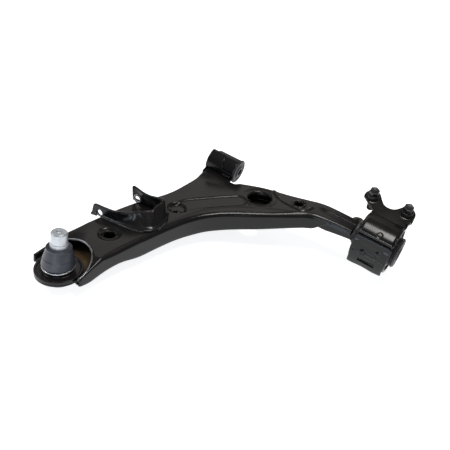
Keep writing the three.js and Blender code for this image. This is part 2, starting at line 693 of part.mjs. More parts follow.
// Flange bolts with their spacers, held in the bracket's flange.
const boltGroup = new THREE.Group();
flangeFrame.decompose(boltGroup.position, boltGroup.quaternion, boltGroup.scale);
pivot.add(boltGroup);
const spacerLow = bracketSheet / 2 + gap;
const spacerHigh = spacerLow + spacerHeight;
const washerRadius = 9;
const headHeight = 9;
const shankEnd = -26;
const hexCorner = boltHeadWidth / Math.sqrt(3);
boltX.forEach((x, i) => {
  const side = i === 0 ? 'front' : 'rear';
  const place = (geometry) => geometry.translate(x, flangeReach, 0);
  const spacer = turned(tubeProfile(boltRadius + gap, boltRadius + 3.4, spacerLow, spacerHigh), holeSides);
  addPiece(boltGroup, `bolt_spacer_${side}`, place(spacer), darkSteel);
  const head = new THREE.CylinderGeometry(hexCorner, hexCorner, headHeight, 6)
    .rotateX(Math.PI / 2)
    .translate(0, 0, spacerHigh + gap + 0.5 + headHeight / 2);
  const shank = turned([
    [0, shankEnd],
    [boltRadius - 1, shankEnd],
    [boltRadius, shankEnd + 1],
    [boltRadius, spacerHigh + gap],
    [washerRadius, spacerHigh + gap],
    [washerRadius, spacerHigh + gap + 1.2],
    [hexCorner, spacerHigh + gap + 2.4],
    [0, spacerHigh + gap + 2.4],
  ], holeSides);
  addPiece(boltGroup, `bracket_bolt_${side}`, geometryOf(join(place(shank), place(head))), darkSteel);
});

// ---- Link bracket: a folded sheet with two ears, welded on the arm's top ----
const linkX = 0.17 * span;
const linkNearY = 0.335 * reach;
const linkFarY = 0.5 * reach;
const linkFloor = gap;
function ear(points, y, holeX, holeZ) {
  const sheetPlate = prism(points, 0, linkSheet).rotateX(Math.PI / 2).translate(0, y, 0);
  const hole = rod(linkHoleRadius, -20, 20).rotateX(Math.PI / 2).translate(holeX, y, holeZ);
  return cut(solidOf(sheetPlate), hole);
}
const nearEar = ear([
  [linkX, linkFloor],
  [linkX, linkHeight - 1],
  [linkX - 20, linkHeight - 7],
  [linkX - 50, linkHeight - 6],
  [linkX - 50 - linkOverhang + 3, linkHeight - 5],
  [linkX - 50 - linkOverhang, linkHeight - 8],
  [linkX - 50 - linkOverhang, linkFloor - linkEarDrop],
  [farEdgeAt(linkNearY) - 3, linkFloor - linkEarDrop],
  [farEdgeAt(linkNearY) - 3, linkFloor],
], linkNearY, linkX - 62, 5.5);
const farEar = ear([
  [linkX + 7, linkFloor],
  [linkX + 7, linkHeight],
  [linkX - 16, linkHeight - 3],
  [linkX - 30, linkHeight],
  [linkX - 44, linkHeight + 4],
  [linkX - 47, linkHeight + 1],
  [linkX - 47, linkFloor],
], linkFarY + linkSheet, linkX - 39, 6);
const backWall = prism(band([
  [linkX - 2, linkNearY - linkSheet / 2],
  [linkX + 2, linkNearY + 2],
  [linkX + 9, linkFarY - 2],
  [linkX + 6, linkFarY + linkSheet / 2],
], linkSheet), linkFloor, linkHeight - 2);
addPiece(arm, 'link_bracket', geometryOf(nearEar.add(farEar).add(solidOf(backWall))), blackPaint);

const box = new THREE.Box3().setFromObject(group, true);
const base = box.getCenter(new THREE.Vector3()).setZ(box.min.z);
group.position.sub(base);

export default group;
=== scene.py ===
import math

import bmesh
import bpy
import numpy as np
from mathutils import Matrix, Vector


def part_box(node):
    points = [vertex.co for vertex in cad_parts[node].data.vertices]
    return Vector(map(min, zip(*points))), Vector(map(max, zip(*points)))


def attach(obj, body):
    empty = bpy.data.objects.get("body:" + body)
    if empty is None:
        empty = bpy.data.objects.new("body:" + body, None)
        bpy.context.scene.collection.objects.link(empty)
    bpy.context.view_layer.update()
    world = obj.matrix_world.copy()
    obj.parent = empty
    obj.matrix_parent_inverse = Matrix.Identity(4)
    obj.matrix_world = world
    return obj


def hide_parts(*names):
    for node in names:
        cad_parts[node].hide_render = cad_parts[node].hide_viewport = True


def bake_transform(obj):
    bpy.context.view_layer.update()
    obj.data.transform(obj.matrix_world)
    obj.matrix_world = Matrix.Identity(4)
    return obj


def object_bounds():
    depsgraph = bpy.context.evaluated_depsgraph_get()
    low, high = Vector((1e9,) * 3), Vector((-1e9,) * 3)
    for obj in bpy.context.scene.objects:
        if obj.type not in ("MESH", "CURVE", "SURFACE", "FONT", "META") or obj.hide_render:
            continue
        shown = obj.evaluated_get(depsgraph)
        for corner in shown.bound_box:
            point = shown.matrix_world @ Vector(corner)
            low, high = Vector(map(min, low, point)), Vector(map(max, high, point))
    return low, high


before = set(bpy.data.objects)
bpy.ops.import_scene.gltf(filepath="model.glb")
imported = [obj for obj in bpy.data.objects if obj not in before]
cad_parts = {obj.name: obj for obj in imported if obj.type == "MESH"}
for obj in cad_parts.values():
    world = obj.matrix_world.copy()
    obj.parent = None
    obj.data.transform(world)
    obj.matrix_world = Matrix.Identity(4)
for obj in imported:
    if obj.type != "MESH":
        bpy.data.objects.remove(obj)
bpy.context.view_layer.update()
print("frame loaded")

mm = 0.001

# Sizes of the arm in millimetres, the same ones that the frame was built from.
arm = {
    "reach": 310.5, "span": 283.0, "tilt": math.radians(8.5), "pivotRise": 20.0,
    "sheet": 3.0, "depth": 24.0, "gap": 0.3, "neckWidth": 33.0, "neckDepth": 18.0, "neckLip": 7.0,
    "cutoutRadius": 42.5, "cutoutX": -0.5, "cutoutY": -1.2, "jointX": 3.0, "jointY": -5.0,
    "flangeRadius": 31.5, "frontBushX": 65.0, "tubeLength": 36.0, "tubeRadius": 17.2,
}
reach = arm["reach"]
span = arm["span"]
tilt = arm["tilt"]
sheet = arm["sheet"]
tubeLeft = arm["frontBushX"] - arm["tubeLength"] / 2
tubeRight = arm["frontBushX"] + arm["tubeLength"] / 2

# A place is an origin in millimetres and three axes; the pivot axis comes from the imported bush.
sleeveLow, sleeveHigh = (np.array(corner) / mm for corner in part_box("front_bush_inner_sleeve"))
rowOrigin = (sleeveLow + sleeveHigh) / 2 - [arm["frontBushX"], reach, arm["pivotRise"]]
armX = np.array([math.cos(tilt), 0, math.sin(tilt)])
armY = np.array([0.0, 1.0, 0.0])
armZ = np.array([-math.sin(tilt), 0, math.cos(tilt)])
armPlace = (rowOrigin, np.array([armX, armY, armZ]))
pivotPlace = (rowOrigin + [0, reach, arm["pivotRise"]], np.eye(3))
jointPlace = (rowOrigin + arm["jointX"] * armX + arm["jointY"] * armY, armPlace[1])

# The camera stands above the front left and is rolled a little about its own line of sight.
camera = {
    "place": np.array([438.67, -587.49, 655.39]), "lens": 60.8,
    "right": (0.8435, 0.4979, 0.2023), "up": (-0.4525, 0.4547, 0.7672), "back": (0.29, -0.7386, 0.6086),
}
cameraData = bpy.data.cameras.new("camera")
cameraData.lens = camera["lens"]
cameraData.sensor_width = 36
cameraData.clip_end = 20
cameraObject = bpy.data.objects.new("camera", cameraData)
bpy.context.scene.collection.objects.link(cameraObject)
turn = Matrix([camera["right"], camera["up"], camera["back"]]).transposed().to_quaternion()
stand = Matrix.Translation(Vector((rowOrigin + camera["place"]) * mm))
cameraObject.matrix_world = stand @ turn.to_matrix().to_4x4()
bpy.context.scene.camera = cameraObject


def smooth(value, start, end):
    # 0 before start, 1 after end, and 3t^2 - 2t^3 between them
    t = np.clip((value - start) / (end - start), 0, 1)
    return t * t * (3 - 2 * t)


def slope(value, start, end):
    # 0 before start, 1 after end, and a straight line between them
    return np.clip((value - start) / (end - start), 0, 1)


def curveThrough(points, steps):
    # Catmull-Rom: each span is the cubic whose end slopes are half the chord over its neighbours
    p = np.array(points, float)
    t = np.linspace(0, len(p) - 1, steps)
    i = np.minimum(t.astype(int), len(p) - 2)
    w = (t - i)[:, None]
    before, after = p[np.maximum(i - 1, 0)], p[np.minimum(i + 2, len(p) - 1)]
    start, end = p[i], p[i + 1]
    v0, v1 = (end - before) / 2, (after - start) / 2
    cubic = (2 * start - 2 * end + v0 + v1) * w**3
    return cubic + (3 * end - 3 * start - 2 * v0 - v1) * w**2 + v0 * w + start


def evenly(path, count):
    # the same path with its points at equal steps of length
    path = np.asarray(path, float)
    steps = np.linalg.norm(np.diff(path, axis=0), axis=1)
    length = np.concatenate([[0], np.cumsum(steps)])
    at = np.linspace(0, length[-1], count)
    return np.stack([np.interp(at, length, path[:, k]) for k in range(path.shape[1])], axis=1)


def arc(radius, startDegrees, endDegrees, steps, centre=(0, 0)):
    # points on a circle from one angle to another
    a = np.radians(np.linspace(startDegrees, endDegrees, steps))
    return np.stack([centre[0] + radius * np.cos(a), centre[1] + radius * np.sin(a)], axis=1)


def rounded(points, radius, steps=5, closed=True):
    # every corner of an outline becomes an arc that touches both its sides
    p = np.array(points, float)
    radii = np.broadcast_to(radius, len(p))
    result = []
    for k, corner in enumerate(p):
        if radii[k] <= 0 or (not closed and k in (0, len(p) - 1)):
            result.append(corner[None])
            continue
        toBefore, toAfter = p[k - 1] - corner, p[(k + 1) % len(p)] - corner
        a, b = np.linalg.norm(toBefore), np.linalg.norm(toAfter)
        toBefore, toAfter = toBefore / a, toAfter / b
        half = math.acos(np.clip(toBefore @ toAfter, -1, 1)) / 2
        reachAlong = min(radii[k] / math.tan(half), 0.48 * a, 0.48 * b)
        w = np.linspace(0, 1, steps)[:, None]
        start, end = corner + toBefore * reachAlong, corner + toAfter * reachAlong
        result.append((1 - w) ** 2 * start + 2 * w * (1 - w) * corner + w**2 * end)
    return np.concatenate(result)


def gridFaces(rows, columns, closeRows=False, closeColumns=False):
    # the four corners of each cell; a closed direction joins its last line to its first
    i = np.arange(rows if closeRows else rows - 1)
    j = np.arange(columns if closeColumns else columns - 1)
    i, j = np.meshgrid(i, j, indexing="ij")
    nextI, nextJ = (i + 1) % rows, (j + 1) % columns
    corners = [i * columns + j, nextI * columns + j, nextI * columns + nextJ, i * columns + nextJ]
    return np.stack(corners, axis=-1).reshape(-1, 4)


def grid(points, keep=None, closeRows=False, closeColumns=False):
    # one patch: its points in rows and columns, and which of its cells stay
    rows, columns = points.shape[:2]
    faces = gridFaces(rows, columns, closeRows, closeColumns)
    if keep is not None:
        faces = faces[keep.reshape(-1)[faces].all(axis=1)]
    return points.reshape(-1, 3), faces


def turned(profile, sides=96, closed=True):
    # a [radius, height] profile turned about the local Z axis
    profile = np.asarray(profile, float)
    a = np.linspace(0, 2 * math.pi, sides, endpoint=False)
    radius, height = profile[:, 0, None], profile[:, 1, None]
    points = np.stack([radius * np.cos(a), radius * np.sin(a), height + 0 * a], axis=-1)
    return grid(points, closeRows=closed, closeColumns=True)


def tube(path, radius, sides=12, ripple=0.0, pitch=2.4, flat=1.0):
    # a round profile carried along a path; a weld's radius swells once for each pitch of length
    path = np.asarray(path, float)
    along = np.gradient(path, axis=0)
    along /= np.linalg.norm(along, axis=1, keepdims=True)
    side = np.cross(along, [0.0, 0.0, 1.0])
    side /= np.maximum(np.linalg.norm(side, axis=1, keepdims=True), 1e-9)
    up = np.cross(side, along)
    length = np.concatenate([[0], np.cumsum(np.linalg.norm(np.diff(path, axis=0), axis=1))])
    swell = 1 + ripple * (np.abs(np.sin(math.pi * length / pitch)) - 0.5)
    fade = np.minimum(1, np.minimum(length, length[-1] - length) / radius + 0.02) ** 0.5
    r = (radius * swell * fade)[:, None, None]
    a = np.linspace(0, 2 * math.pi, sides, endpoint=False)[None, :, None]
    points = path[:, None] + r * (np.cos(a) * side[:, None] + flat * np.sin(a) * up[:, None])
    return grid(points, closeColumns=True)


def alongX(part):
    # turns a patch made about Z so that it runs along X
    points, faces = part
    return points[:, [2, 0, 1]], faces


def snapped(x, y, centre, radius, band):
    # points within a band of a circle move onto it, so that the cells' corners follow the hole
    dx, dy = x - centre[0], y - centre[1]
    distance = np.maximum(np.hypot(dx, dy), 1e-6)
    near = np.abs(distance - radius) < band
    factor = np.where(near, radius / distance, 1)
    return centre[0] + dx * factor, centre[1] + dy * factor, np.hypot(dx * factor, dy * factor)


def meshPiece(name, parts, place, body, finish, replaces=(), thickness=0.0, facing=None, offset=-1.0,
              sharp=38.0):
    # joins patches into one object in the row frame, drops what no face uses and points the faces outwards
    points, faces, triangles, start = [], [], [], 0
    for partPoints, partFaces in parts:
        points.append(partPoints)
        (faces if partFaces.shape[1] == 4 else triangles).append(partFaces + start)
        start += len(partPoints)
    points = np.concatenate(points)
    every = [f for group in (faces, triangles) for part in group for f in part.tolist()]
    origin, axes = place
    inRow = (np.asarray(origin) + points @ np.asarray(axes)) * mm
    mesh = bpy.data.meshes.new(name)
    mesh.from_pydata(inRow.tolist(), [], every)
    work = bmesh.new()
    work.from_mesh(mesh)
    bmesh.ops.remove_doubles(work, verts=work.verts, dist=2e-6)
    bmesh.ops.dissolve_degenerate(work, edges=work.edges, dist=1e-6)
    bmesh.ops.delete(work, geom=[v for v in work.verts if not v.link_faces], context="VERTS")
    if facing is None:
        bmesh.ops.recalc_face_normals(work, faces=work.faces)
    else:
        total = sum((f.normal * f.calc_area() for f in work.faces), Vector())
        if total.dot(Vector(facing)) < 0:
            bmesh.ops.reverse_faces(work, faces=work.faces)
    work.to_mesh(mesh)
    work.free()
    mesh.shade_smooth()
    mesh.set_sharp_from_angle(angle=math.radians(sharp))
    piece = bpy.data.objects.new(name, mesh)
    bpy.context.scene.collection.objects.link(piece)
    if thickness:
        wall = piece.modifiers.new("wall", "SOLIDIFY")
        wall.thickness = thickness * mm
        wall.offset = offset
        wall.use_even_offset = False
        wall.use_quality_normals = True
    material, slot = finish
    mesh.materials.append(material)
    if replaces:
        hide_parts(*replaces)
    if body:
        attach(piece, body)
    return piece


def turnedPiece(name, profile, place, body, finish, sides=96):
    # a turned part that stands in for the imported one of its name; on the pivot it lies along X
    part = turned(profile, sides)
    part = alongX(part) if place is pivotPlace else part
    return meshPiece(f"{name}_skin", [part], place, body, finish, [name])


print("shape functions ready")


class Signal:
    # a node's output, whose arithmetic adds Math nodes
    def __init__(self, maker, socket):
        self.maker = maker
        self.socket = socket

    def joined(self, operation, first, second):
        return self.maker.add("ShaderNodeMath", {"operation": operation}, {0: first, 1: second})

    def __add__(self, other):
        return self.joined("ADD", self, other)

    def __radd__(self, other):
        return self.joined("ADD", other, self)

    def __sub__(self, other):
        return self.joined("SUBTRACT", self, other)

    def __rsub__(self, other):
        return self.joined("SUBTRACT", other, self)

    def __mul__(self, other):
        return self.joined("MULTIPLY", self, other)

    def __rmul__(self, other):
        return self.joined("MULTIPLY", other, self)


class Finish:
    # one material, with a method that adds any node from its settings and inputs
    def __init__(self, name):
        self.material = bpy.data.materials.new(name)
        self.material.use_nodes = True
        self.tree = self.material.node_tree
        self.tree.nodes.clear()
        self.shader = self.tree.nodes.new("ShaderNodeBsdfPrincipled")
        output = self.tree.nodes.new("ShaderNodeOutputMaterial")
        self.tree.links.new(self.shader.outputs["BSDF"], output.inputs["Surface"])
        self.place = self.add("ShaderNodeTexCoord", {}, {}, "Object")

    def put(self, socket, value):
        if isinstance(value, Signal):
            self.tree.links.new(value.socket, socket)
        else:
            socket.default_value = value

    def add(self, kind, settings, inputs, output=0):
        node = self.tree.nodes.new(kind)
        for key, value in settings.items():
            setattr(node, key, value)
        for key, value in inputs.items():
            self.put(node.inputs[key], value)
        return Signal(self, node.outputs[output])

    def noise(self, scale, detail=3.0, roughness=0.55, stretch=(1, 1, 1)):
        where = self.add("ShaderNodeMapping", {}, {"Vector": self.place, "Scale": stretch})
        sizes = {"Vector": where, "Scale": scale, "Detail": detail, "Roughness": roughness}
        return self.add("ShaderNodeTexNoise", {}, sizes, 0)

    def between(self, value, low, high, toLow=0.0, toHigh=1.0):
        limits = {"Value": value, "From Min": low, "From Max": high, "To Min": toLow, "To Max": toHigh}
        return self.add("ShaderNodeMapRange", {"clamp": True}, limits)

    def blended(self, factor, first, second):
        inputs = {"Factor": factor, "A": (*first, 1) if isinstance(first, tuple) else first,
                  "B": (*second, 1) if isinstance(second, tuple) else second}
        node = self.tree.nodes.new("ShaderNodeMix")
        node.data_type = "RGBA"
        colourSockets = {"Factor": node.inputs[0], "A": node.inputs[6], "B": node.inputs[7]}
        for key, value in inputs.items():
            self.put(colourSockets[key], value)
        return Signal(self, node.outputs[2])

    def bumped(self, height, strength, distance):
        return self.add("ShaderNodeBump", {}, {"Height": height, "Strength": strength, "Distance": distance})

    def done(self, **sockets):
        for key, value in sockets.items():
            self.put(self.shader.inputs[key.replace("_", " ")], value)
        return self.material


def paintFinish(name, colour, dustAndSheenColour, roughness, peel=0.1, paintedGlint=None):
    # black dip paint over pressed steel: fine orange peel, draw marks, and on what faces up dust mixed with a
    # painted reflection that lightens and warms it;
    # the last argument is a place and two distances between which a painted brown-gold highlight fades out
    paint = Finish(name)
    cloud = paint.noise(14, 4)
    speck = paint.noise(900, 2)
    wave = paint.noise(70, 2)
    facing = paint.add("ShaderNodeNewGeometry", {}, {}, "Normal")
    upward = paint.add("ShaderNodeSeparateXYZ", {}, {0: facing}, 2)
    # what faces up is lightened: partly dust, partly a painted reflection of the light above
    dustAndTopSheen = paint.between(upward, 0.3, 1.0) * paint.between(cloud, 0.35, 0.75, 0.35, 1.0)
    tone = paint.blended(dustAndTopSheen, colour, dustAndSheenColour)
    spotted = paint.between(speck, 0.62, 0.72) * paint.between(paint.noise(40, 3), 0.45, 0.7)
    colourOut = paint.blended(spotted * 0.35, tone, (0.09, 0.085, 0.08))
    if paintedGlint:
        centre, full, none = paintedGlint
        away = paint.add("ShaderNodeVectorMath", {"operation": "DISTANCE"}, {0: paint.place, 1: centre}, 1)
        # a painted brown-gold highlight: brightest near the given spot, patchy, fading with distance
        patchyGlint = paint.between(paint.noise(30, 4), 0.3, 0.65, 0.45, 1.0)
        glintAmount = paint.between(away, full, none, 1.0, 0.0) * patchyGlint
        colourOut = paint.blended(glintAmount, colourOut, (0.11, 0.072, 0.034))
    gloss = roughness + 0.12 * (cloud - 0.5) + 0.1 * dustAndTopSheen + spotted * 0.2
    relief = paint.noise(1300, 2) * peel + wave * 0.35 + speck * 0.05
    return paint.done(Base_Color=colourOut, Roughness=gloss, Metallic=0.0, IOR=1.36,
                      Normal=paint.bumped(relief, 0.16, 0.0005))


def rubberFinish(name, colour, pale, roughness, grain=1500):
    # moulded rubber: a matt skin with fine grain and a faint bloom
    rubber = Finish(name)
    cloud = rubber.noise(45, 4)
    bloom = rubber.between(cloud, 0.4, 0.75)
    tone = rubber.blended(bloom * 0.6, colour, pale)
    fine = rubber.noise(grain, 3)
    return rubber.done(Base_Color=tone, Roughness=roughness + 0.12 * (cloud - 0.5), IOR=1.5,
                       Normal=rubber.bumped(fine + cloud * 0.4, 0.18, 0.0004))


def steelFinish(name, colour, worn, roughness, metallic, rings=(1, 1, 22)):
    # machined steel: lines left by turning, stretched across the given axes, and light stains
    steel = Finish(name)
    lines = steel.noise(180, 4, 0.6, rings)
    stain = steel.noise(60, 4)
    tone = steel.blended(steel.between(stain, 0.35, 0.75), colour, worn)
    gloss = roughness + 0.14 * (stain - 0.5) + 0.1 * (lines - 0.5)
    return steel.done(Base_Color=tone, Roughness=gloss, Metallic=metallic,
                      Normal=steel.bumped(lines + stain * 0.3, 0.12, 0.0003))


# Each finish is a material and a slot name; only the material is put on the pieces.
# each paint's second colour is what faces up turns to: dust together with a painted reflection of the light
# above
armPaint = (paintFinish("gloss black dip paint", (0.0045, 0.0045, 0.005), (0.014, 0.0115, 0.0105), 0.17),
            "black_paint")
# the painted brown-gold highlight inside the lower shell centres on this spot
glintSpot = tuple(((armPlace[0] + [16, 30, -16]) * mm).tolist())
innerPaint = (paintFinish("thin paint inside", (0.005, 0.005, 0.0052), (0.012, 0.0105, 0.0095), 0.2,
                          paintedGlint=(glintSpot, 0.008, 0.034)), "black_paint")
bracketPaint = (paintFinish("bracket black paint", (0.0045, 0.0045, 0.005), (0.012, 0.01, 0.009), 0.16, 0.12),
                "bracket_paint")
weldPaint = (paintFinish("paint over weld", (0.008, 0.008, 0.0095), (0.014, 0.014, 0.016), 0.1, 0.6),
             "black_paint")
bootRubber = (rubberFinish("boot rubber", (0.030, 0.034, 0.043), (0.062, 0.068, 0.08), 0.42), "boot_rubber")
bushRubber = (rubberFinish("bush rubber", (0.010, 0.010, 0.012), (0.032, 0.031, 0.032), 0.5), "black_rubber")
zincSteel = (steelFinish("zinc plated steel", (0.56, 0.585, 0.61), (0.42, 0.44, 0.46), 0.36, 0.7), "zinc")
brightSteel = (steelFinish("bright ring steel", (0.72, 0.74, 0.76), (0.5, 0.5, 0.52), 0.28, 0.95), "zinc")
darkSteel = (steelFinish("dark sleeve steel", (0.06, 0.06, 0.064), (0.03, 0.03, 0.032), 0.4, 0.7, (22, 1, 1)),
             "dark_steel")
boltSteel = (steelFinish("black bolt steel", (0.009, 0.009, 0.0095), (0.02, 0.019, 0.018), 0.3, 0.35),
             "dark_steel")
# a lighter metal on cut edges and hole rims: a painted highlight where the lit edge catches the light
highlightEdgeFinish = (steelFinish("painted highlight edge", (0.34, 0.34, 0.35), (0.14, 0.14, 0.145), 0.3, 0.75, (1, 1, 1)),
              "black_paint")
linerPlastic = (rubberFinish("liner plastic", (0.62, 0.60, 0.52), (0.7, 0.68, 0.6), 0.5), "liner_plastic")
print("materials ready")

# The pressed arm's outline and heights lie in the arm's own plane.
press = {
    "stations": 330, "across": 90, "wallRows": 9, "cornerRows": 8, "draft": 1.2,
    "frontCorner": 2.6, "corner": 7.5, "neckCorner": 3.4, "floorCorner": 6.0, "snapBand": 0.9,
}
neckStart = 0.76 * span


def axisHeight(x):
    # height of the level pivot axis above the tilted plane of the arm
    return (arm["pivotRise"] - math.sin(tilt) * x) / math.cos(tilt)


neckTop = axisHeight(span) + arm["neckDepth"] / 2
neckHalf = arm["neckWidth"] / 2
nearLine = curveThrough([
    (44, -14), (50.5, 25), (0.216 * span, 0.232 * reach), (0.269 * span, 0.409 * reach),
    (0.329 * span, 0.554 * reach), (0.417 * span, 0.657 * reach), (0.583 * span, 0.763 * reach),
    (0.76 * span, 0.882 * reach), (0.85 * span, reach - neckHalf - 8), (span, reach - neckHalf),
], 400)
farFront = curveThrough([
    (-37.8, -5.5), (-31, 38), (-0.053 * span, 0.322 * reach), (0.005 * span, 0.5 * reach),
    (0.09 * span, 0.663 * reach), (tubeLeft - 13, 0.79 * reach), (tubeLeft - 9, reach - 24),
], 250)
farRear = curveThrough([
    (tubeRight + 15, reach - 14), (0.47 * span, reach - 3), (0.62 * span, reach + 2),
    (0.79 * span, reach + neckHalf - 6), (span, reach + neckHalf),
], 200)
notch = rounded([farFront[-1], (tubeLeft - 8, reach - 20.5), (tubeRight + 9, reach - 20), farRear[0]],
                5, 6, False)
nearEdge = evenly(nearLine, press["stations"])
farEdge = evenly(np.concatenate([farFront, notch[1:-1], farRear]), press["stations"])


def plainTop(x, y):
    # the top sheet: level, dipping at both front corners, rising under the bush and up to the neck
    neck = neckTop * slope(x, neckStart, span) ** 1.25
    farDip = -9 * slope(y, 80, -10) * smooth(x, 10, -20)
    nearDip = -13 * slope(y, 24, -14) * smooth(x, 20, 44)
    saddle = 6 * smooth(y, reach - 45, reach - 15) * smooth(x, tubeRight + 12, tubeLeft)
    return neck + farDip + nearDip + saddle


def plainFloor(x):
    # the walls' foot: level at the arm's depth, then rising to the neck's underside
    neck = slope(x, neckStart, span) ** 1.25
    return -arm["depth"] + neck * (neckTop - arm["neckDepth"] + arm["depth"])


def lineDistance(x, y, line):
    # least distance from each point to the straight pieces of a line
    a, b = np.array(line[:-1], float), np.array(line[1:], float)
    along = b - a
    px, py = x[..., None] - a[:, 0], y[..., None] - a[:, 1]
    t = np.clip((px * along[:, 0] + py * along[:, 1]) / (along**2).sum(axis=1), 0, 1)
    return np.hypot(px - t * along[:, 0], py - t * along[:, 1]).min(axis=-1)


def circleDistance(x, y, centre):
    # distance from a circle's middle
    return np.hypot(x - centre[0], y - centre[1])


topHoles = {
    "lightening": {"centre": (0.506 * span, 0.887 * reach), "radius": 17.0, "lip": 2.6},
    "drain": {"centre": (0.251 * span, 0.577 * reach), "radius": 3.0, "lip": 1.0},
    "access": {"centre": (0.08 * span, 0.241 * reach), "radius": 8.0, "lip": 1.6},
    "locator": {"centre": (0.219 * span, 0.565 * reach), "radius": 3.4, "lip": 1.0},
    "rear": {"centre": (0.699 * span, 0.946 * reach), "radius": 6.3, "lip": 1.5},
}
stamping = {
    "channel": curveThrough([(63, 184), (71, 200), (86, 216), (103, 233), (121, 250)], 30),
    "bead": curveThrough([(150, 309), (163, 294), (174, 287), (184, 284), (197, 281), (208, 281.5),
                          (215, 288), (217, 297)], 40),
    "shoulder": curveThrough([(66, 96), (78, 140), (96, 190), (122, 222), (165, 250), (206, 268),
                              (240, 283)], 50),
    "recess": (60, 181),
}


def stamped(x, y):
    # dishes round the holes, the long shallow channel, the curved bead and the soft near shoulder
    recess = -2.6 * (1 - smooth(circleDistance(x, y, stamping["recess"]), 10.5, 15))
    access = topHoles["access"]["centre"]
    dimple = -2.4 * (1 - smooth(circleDistance(x, y, access), 11.5, 17.5))
    dimple = dimple + 0.7 * (1 - smooth(np.abs(circleDistance(x, y, access) - 10.2), 0.6, 2.2))
    big = circleDistance(x, y, topHoles["lightening"]["centre"])
    ring = -1.6 * (1 - smooth(big, 20, 29)) + 0.9 * (1 - smooth(np.abs(big - 19.6), 0.5, 2.8))
    rear = circleDistance(x, y, topHoles["rear"]["centre"])
    collar = 1.1 * (1 - smooth(np.abs(rear - 9.0), 0.8, 3.2))
    channel = -1.9 * (1 - smooth(lineDistance(x, y, stamping["channel"]), 10.5, 15))
    bead = 1.5 * (1 - smooth(lineDistance(x, y, stamping["bead"]), 0.4, 3.4))
    shoulder = -0.7 * smooth(lineDistance(x, y, stamping["shoulder"]), 9, 2) * smooth(x, 250, 200)
    fromGroove = np.abs(y - (reach - 2 - 0.09 * (span - x)))
    neckGroove = -1.3 * (1 - smooth(fromGroove, 2.0, 6.5)) * smooth(x, 222, 240)
    swage = 0.8 * np.sin((y - 20) / 13) * smooth(y, 30, 60) * smooth(y, 170, 120) * smooth(x, 60, 30) * 0.35
    return recess + dimple + ring + collar + channel + bead + shoulder + neckGroove + swage


def upperTop(x, y):
    # the finished top sheet: its plain height and what is pressed into it
    return plainTop(x, y) + stamped(x, y)


def sectionPatch(near, far, capRule, rimNear, rimFar, corner, side, draft, holes, nearLift=None):
    # wall, quarter-round corner, cap, corner, wall: one cross-section carried along both edges
    step = far - near
    width = np.linalg.norm(step, axis=1, keepdims=True)
    direction = step / width
    t = np.linspace(0, 1, press["wallRows"], endpoint=False)
    phi = np.linspace(0, math.pi / 2, press["cornerRows"], endpoint=False)
    inner = np.linspace(0, 1, press["across"])
    corner = np.broadcast_to(corner, (len(near),))[:, None]
    wallOffset = -draft * (1 - t)[None] + 0 * corner
    cornerOffset = corner * (1 - np.cos(phi))[None]
    nearOffset = np.concatenate([wallOffset, cornerOffset], axis=1)
    capOffset = corner + inner[None] * (width - 2 * corner)
    farOffset = width - nearOffset[:, ::-1]
    offset = np.concatenate([nearOffset, capOffset, farOffset], axis=1)
    x = near[:, :1] + direction[:, :1] * offset
    y = near[:, 1:] + direction[:, 1:] * offset
    walls = len(t)
    corners = len(phi)
    total = offset.shape[1]
    column = np.arange(total)
    isWall = (column < walls) | (column >= total - walls)
    for centre, radius, band in holes:
        sx, sy, _ = snapped(x, y, centre, radius, band)
        x, y = np.where(isWall, x, sx), np.where(isWall, y, sy)
    drop = np.zeros_like(x)
    cornerDrop = corner * (1 - np.sin(phi))[None]
    drop[:, walls:walls + corners] = cornerDrop
    drop[:, total - walls - corners:total - walls] = cornerDrop[:, ::-1]
    z = capRule(x, y) - side * drop
    foot = capRule(near[:, :1], near[:, 1:]) - side * corner
    z[:, :walls] = rimNear[:, None] + t * (foot - rimNear[:, None])
    foot = capRule(far[:, :1], far[:, 1:]) - side * corner
    z[:, total - walls:] = rimFar[:, None] + t[::-1] * (foot - rimFar[:, None])
    if nearLift is not None:
        fade = 1 - smooth(np.linspace(-0.2, 1, total - walls), 0.0, 0.45)
        z[:, walls:] += nearLift[:, None] * fade
        z[:, :walls] += nearLift[:, None] * (1 - t)[::-1] ** 2
    keep = np.ones_like(x, bool)
    for centre, radius, band in holes:
        keep &= isWall | (circleDistance(x, y, centre) > radius - 1e-6)
    return grid(np.stack([x, y, z], axis=-1), keep)


def holeLip(centre, radius, rule, lip, depth, side=1, sides=72):
    # the rolled edge of a hole: a small round-over that follows the sheet's own height
    down = np.linspace(0, math.pi / 2, 6)
    offset = np.concatenate([[radius + lip + 0.9, radius + lip + 0.2], radius + lip * (1 - np.sin(down)),
                             [radius, radius + 0.5]])
    height = np.concatenate([[0.0, 0.12], 0.12 - lip * (1 - np.cos(down)), [-depth, -depth - 0.4]])
    a = np.linspace(0, 2 * math.pi, sides, endpoint=False)
    x = centre[0] + offset[:, None] * np.cos(a)
    y = centre[1] + offset[:, None] * np.sin(a)
    z = rule(x, y) + side * height[:, None]
    return grid(np.stack([x, y, z], axis=-1), closeColumns=True)


def shell(name, patch, rule, holes, finish, side):
    # a pressed sheet and, as a piece of its own, the rolled edges of its holes
    facing = (0, 0, side)
    meshPiece(f"{name}_skin", [patch], armPlace, "arm", finish, [name], thickness=sheet, facing=facing)
    rolls = [holeLip(hole["centre"], hole["radius"], rule, hole["lip"], sheet + 0.3, side)
             for hole in holes.values()]
    meshPiece(f"{name}_hole_edges", rolls, armPlace, "arm", finish, facing=facing)


def circlesOut(centre, radius, holes):
    # circles that a shell leaves free: its large opening, then each hole as far as its rolled edge
    around = [(hole["centre"], hole["radius"] + hole["lip"], press["snapBand"]) for hole in holes.values()]
    return [(centre, radius, 1.0), *around]


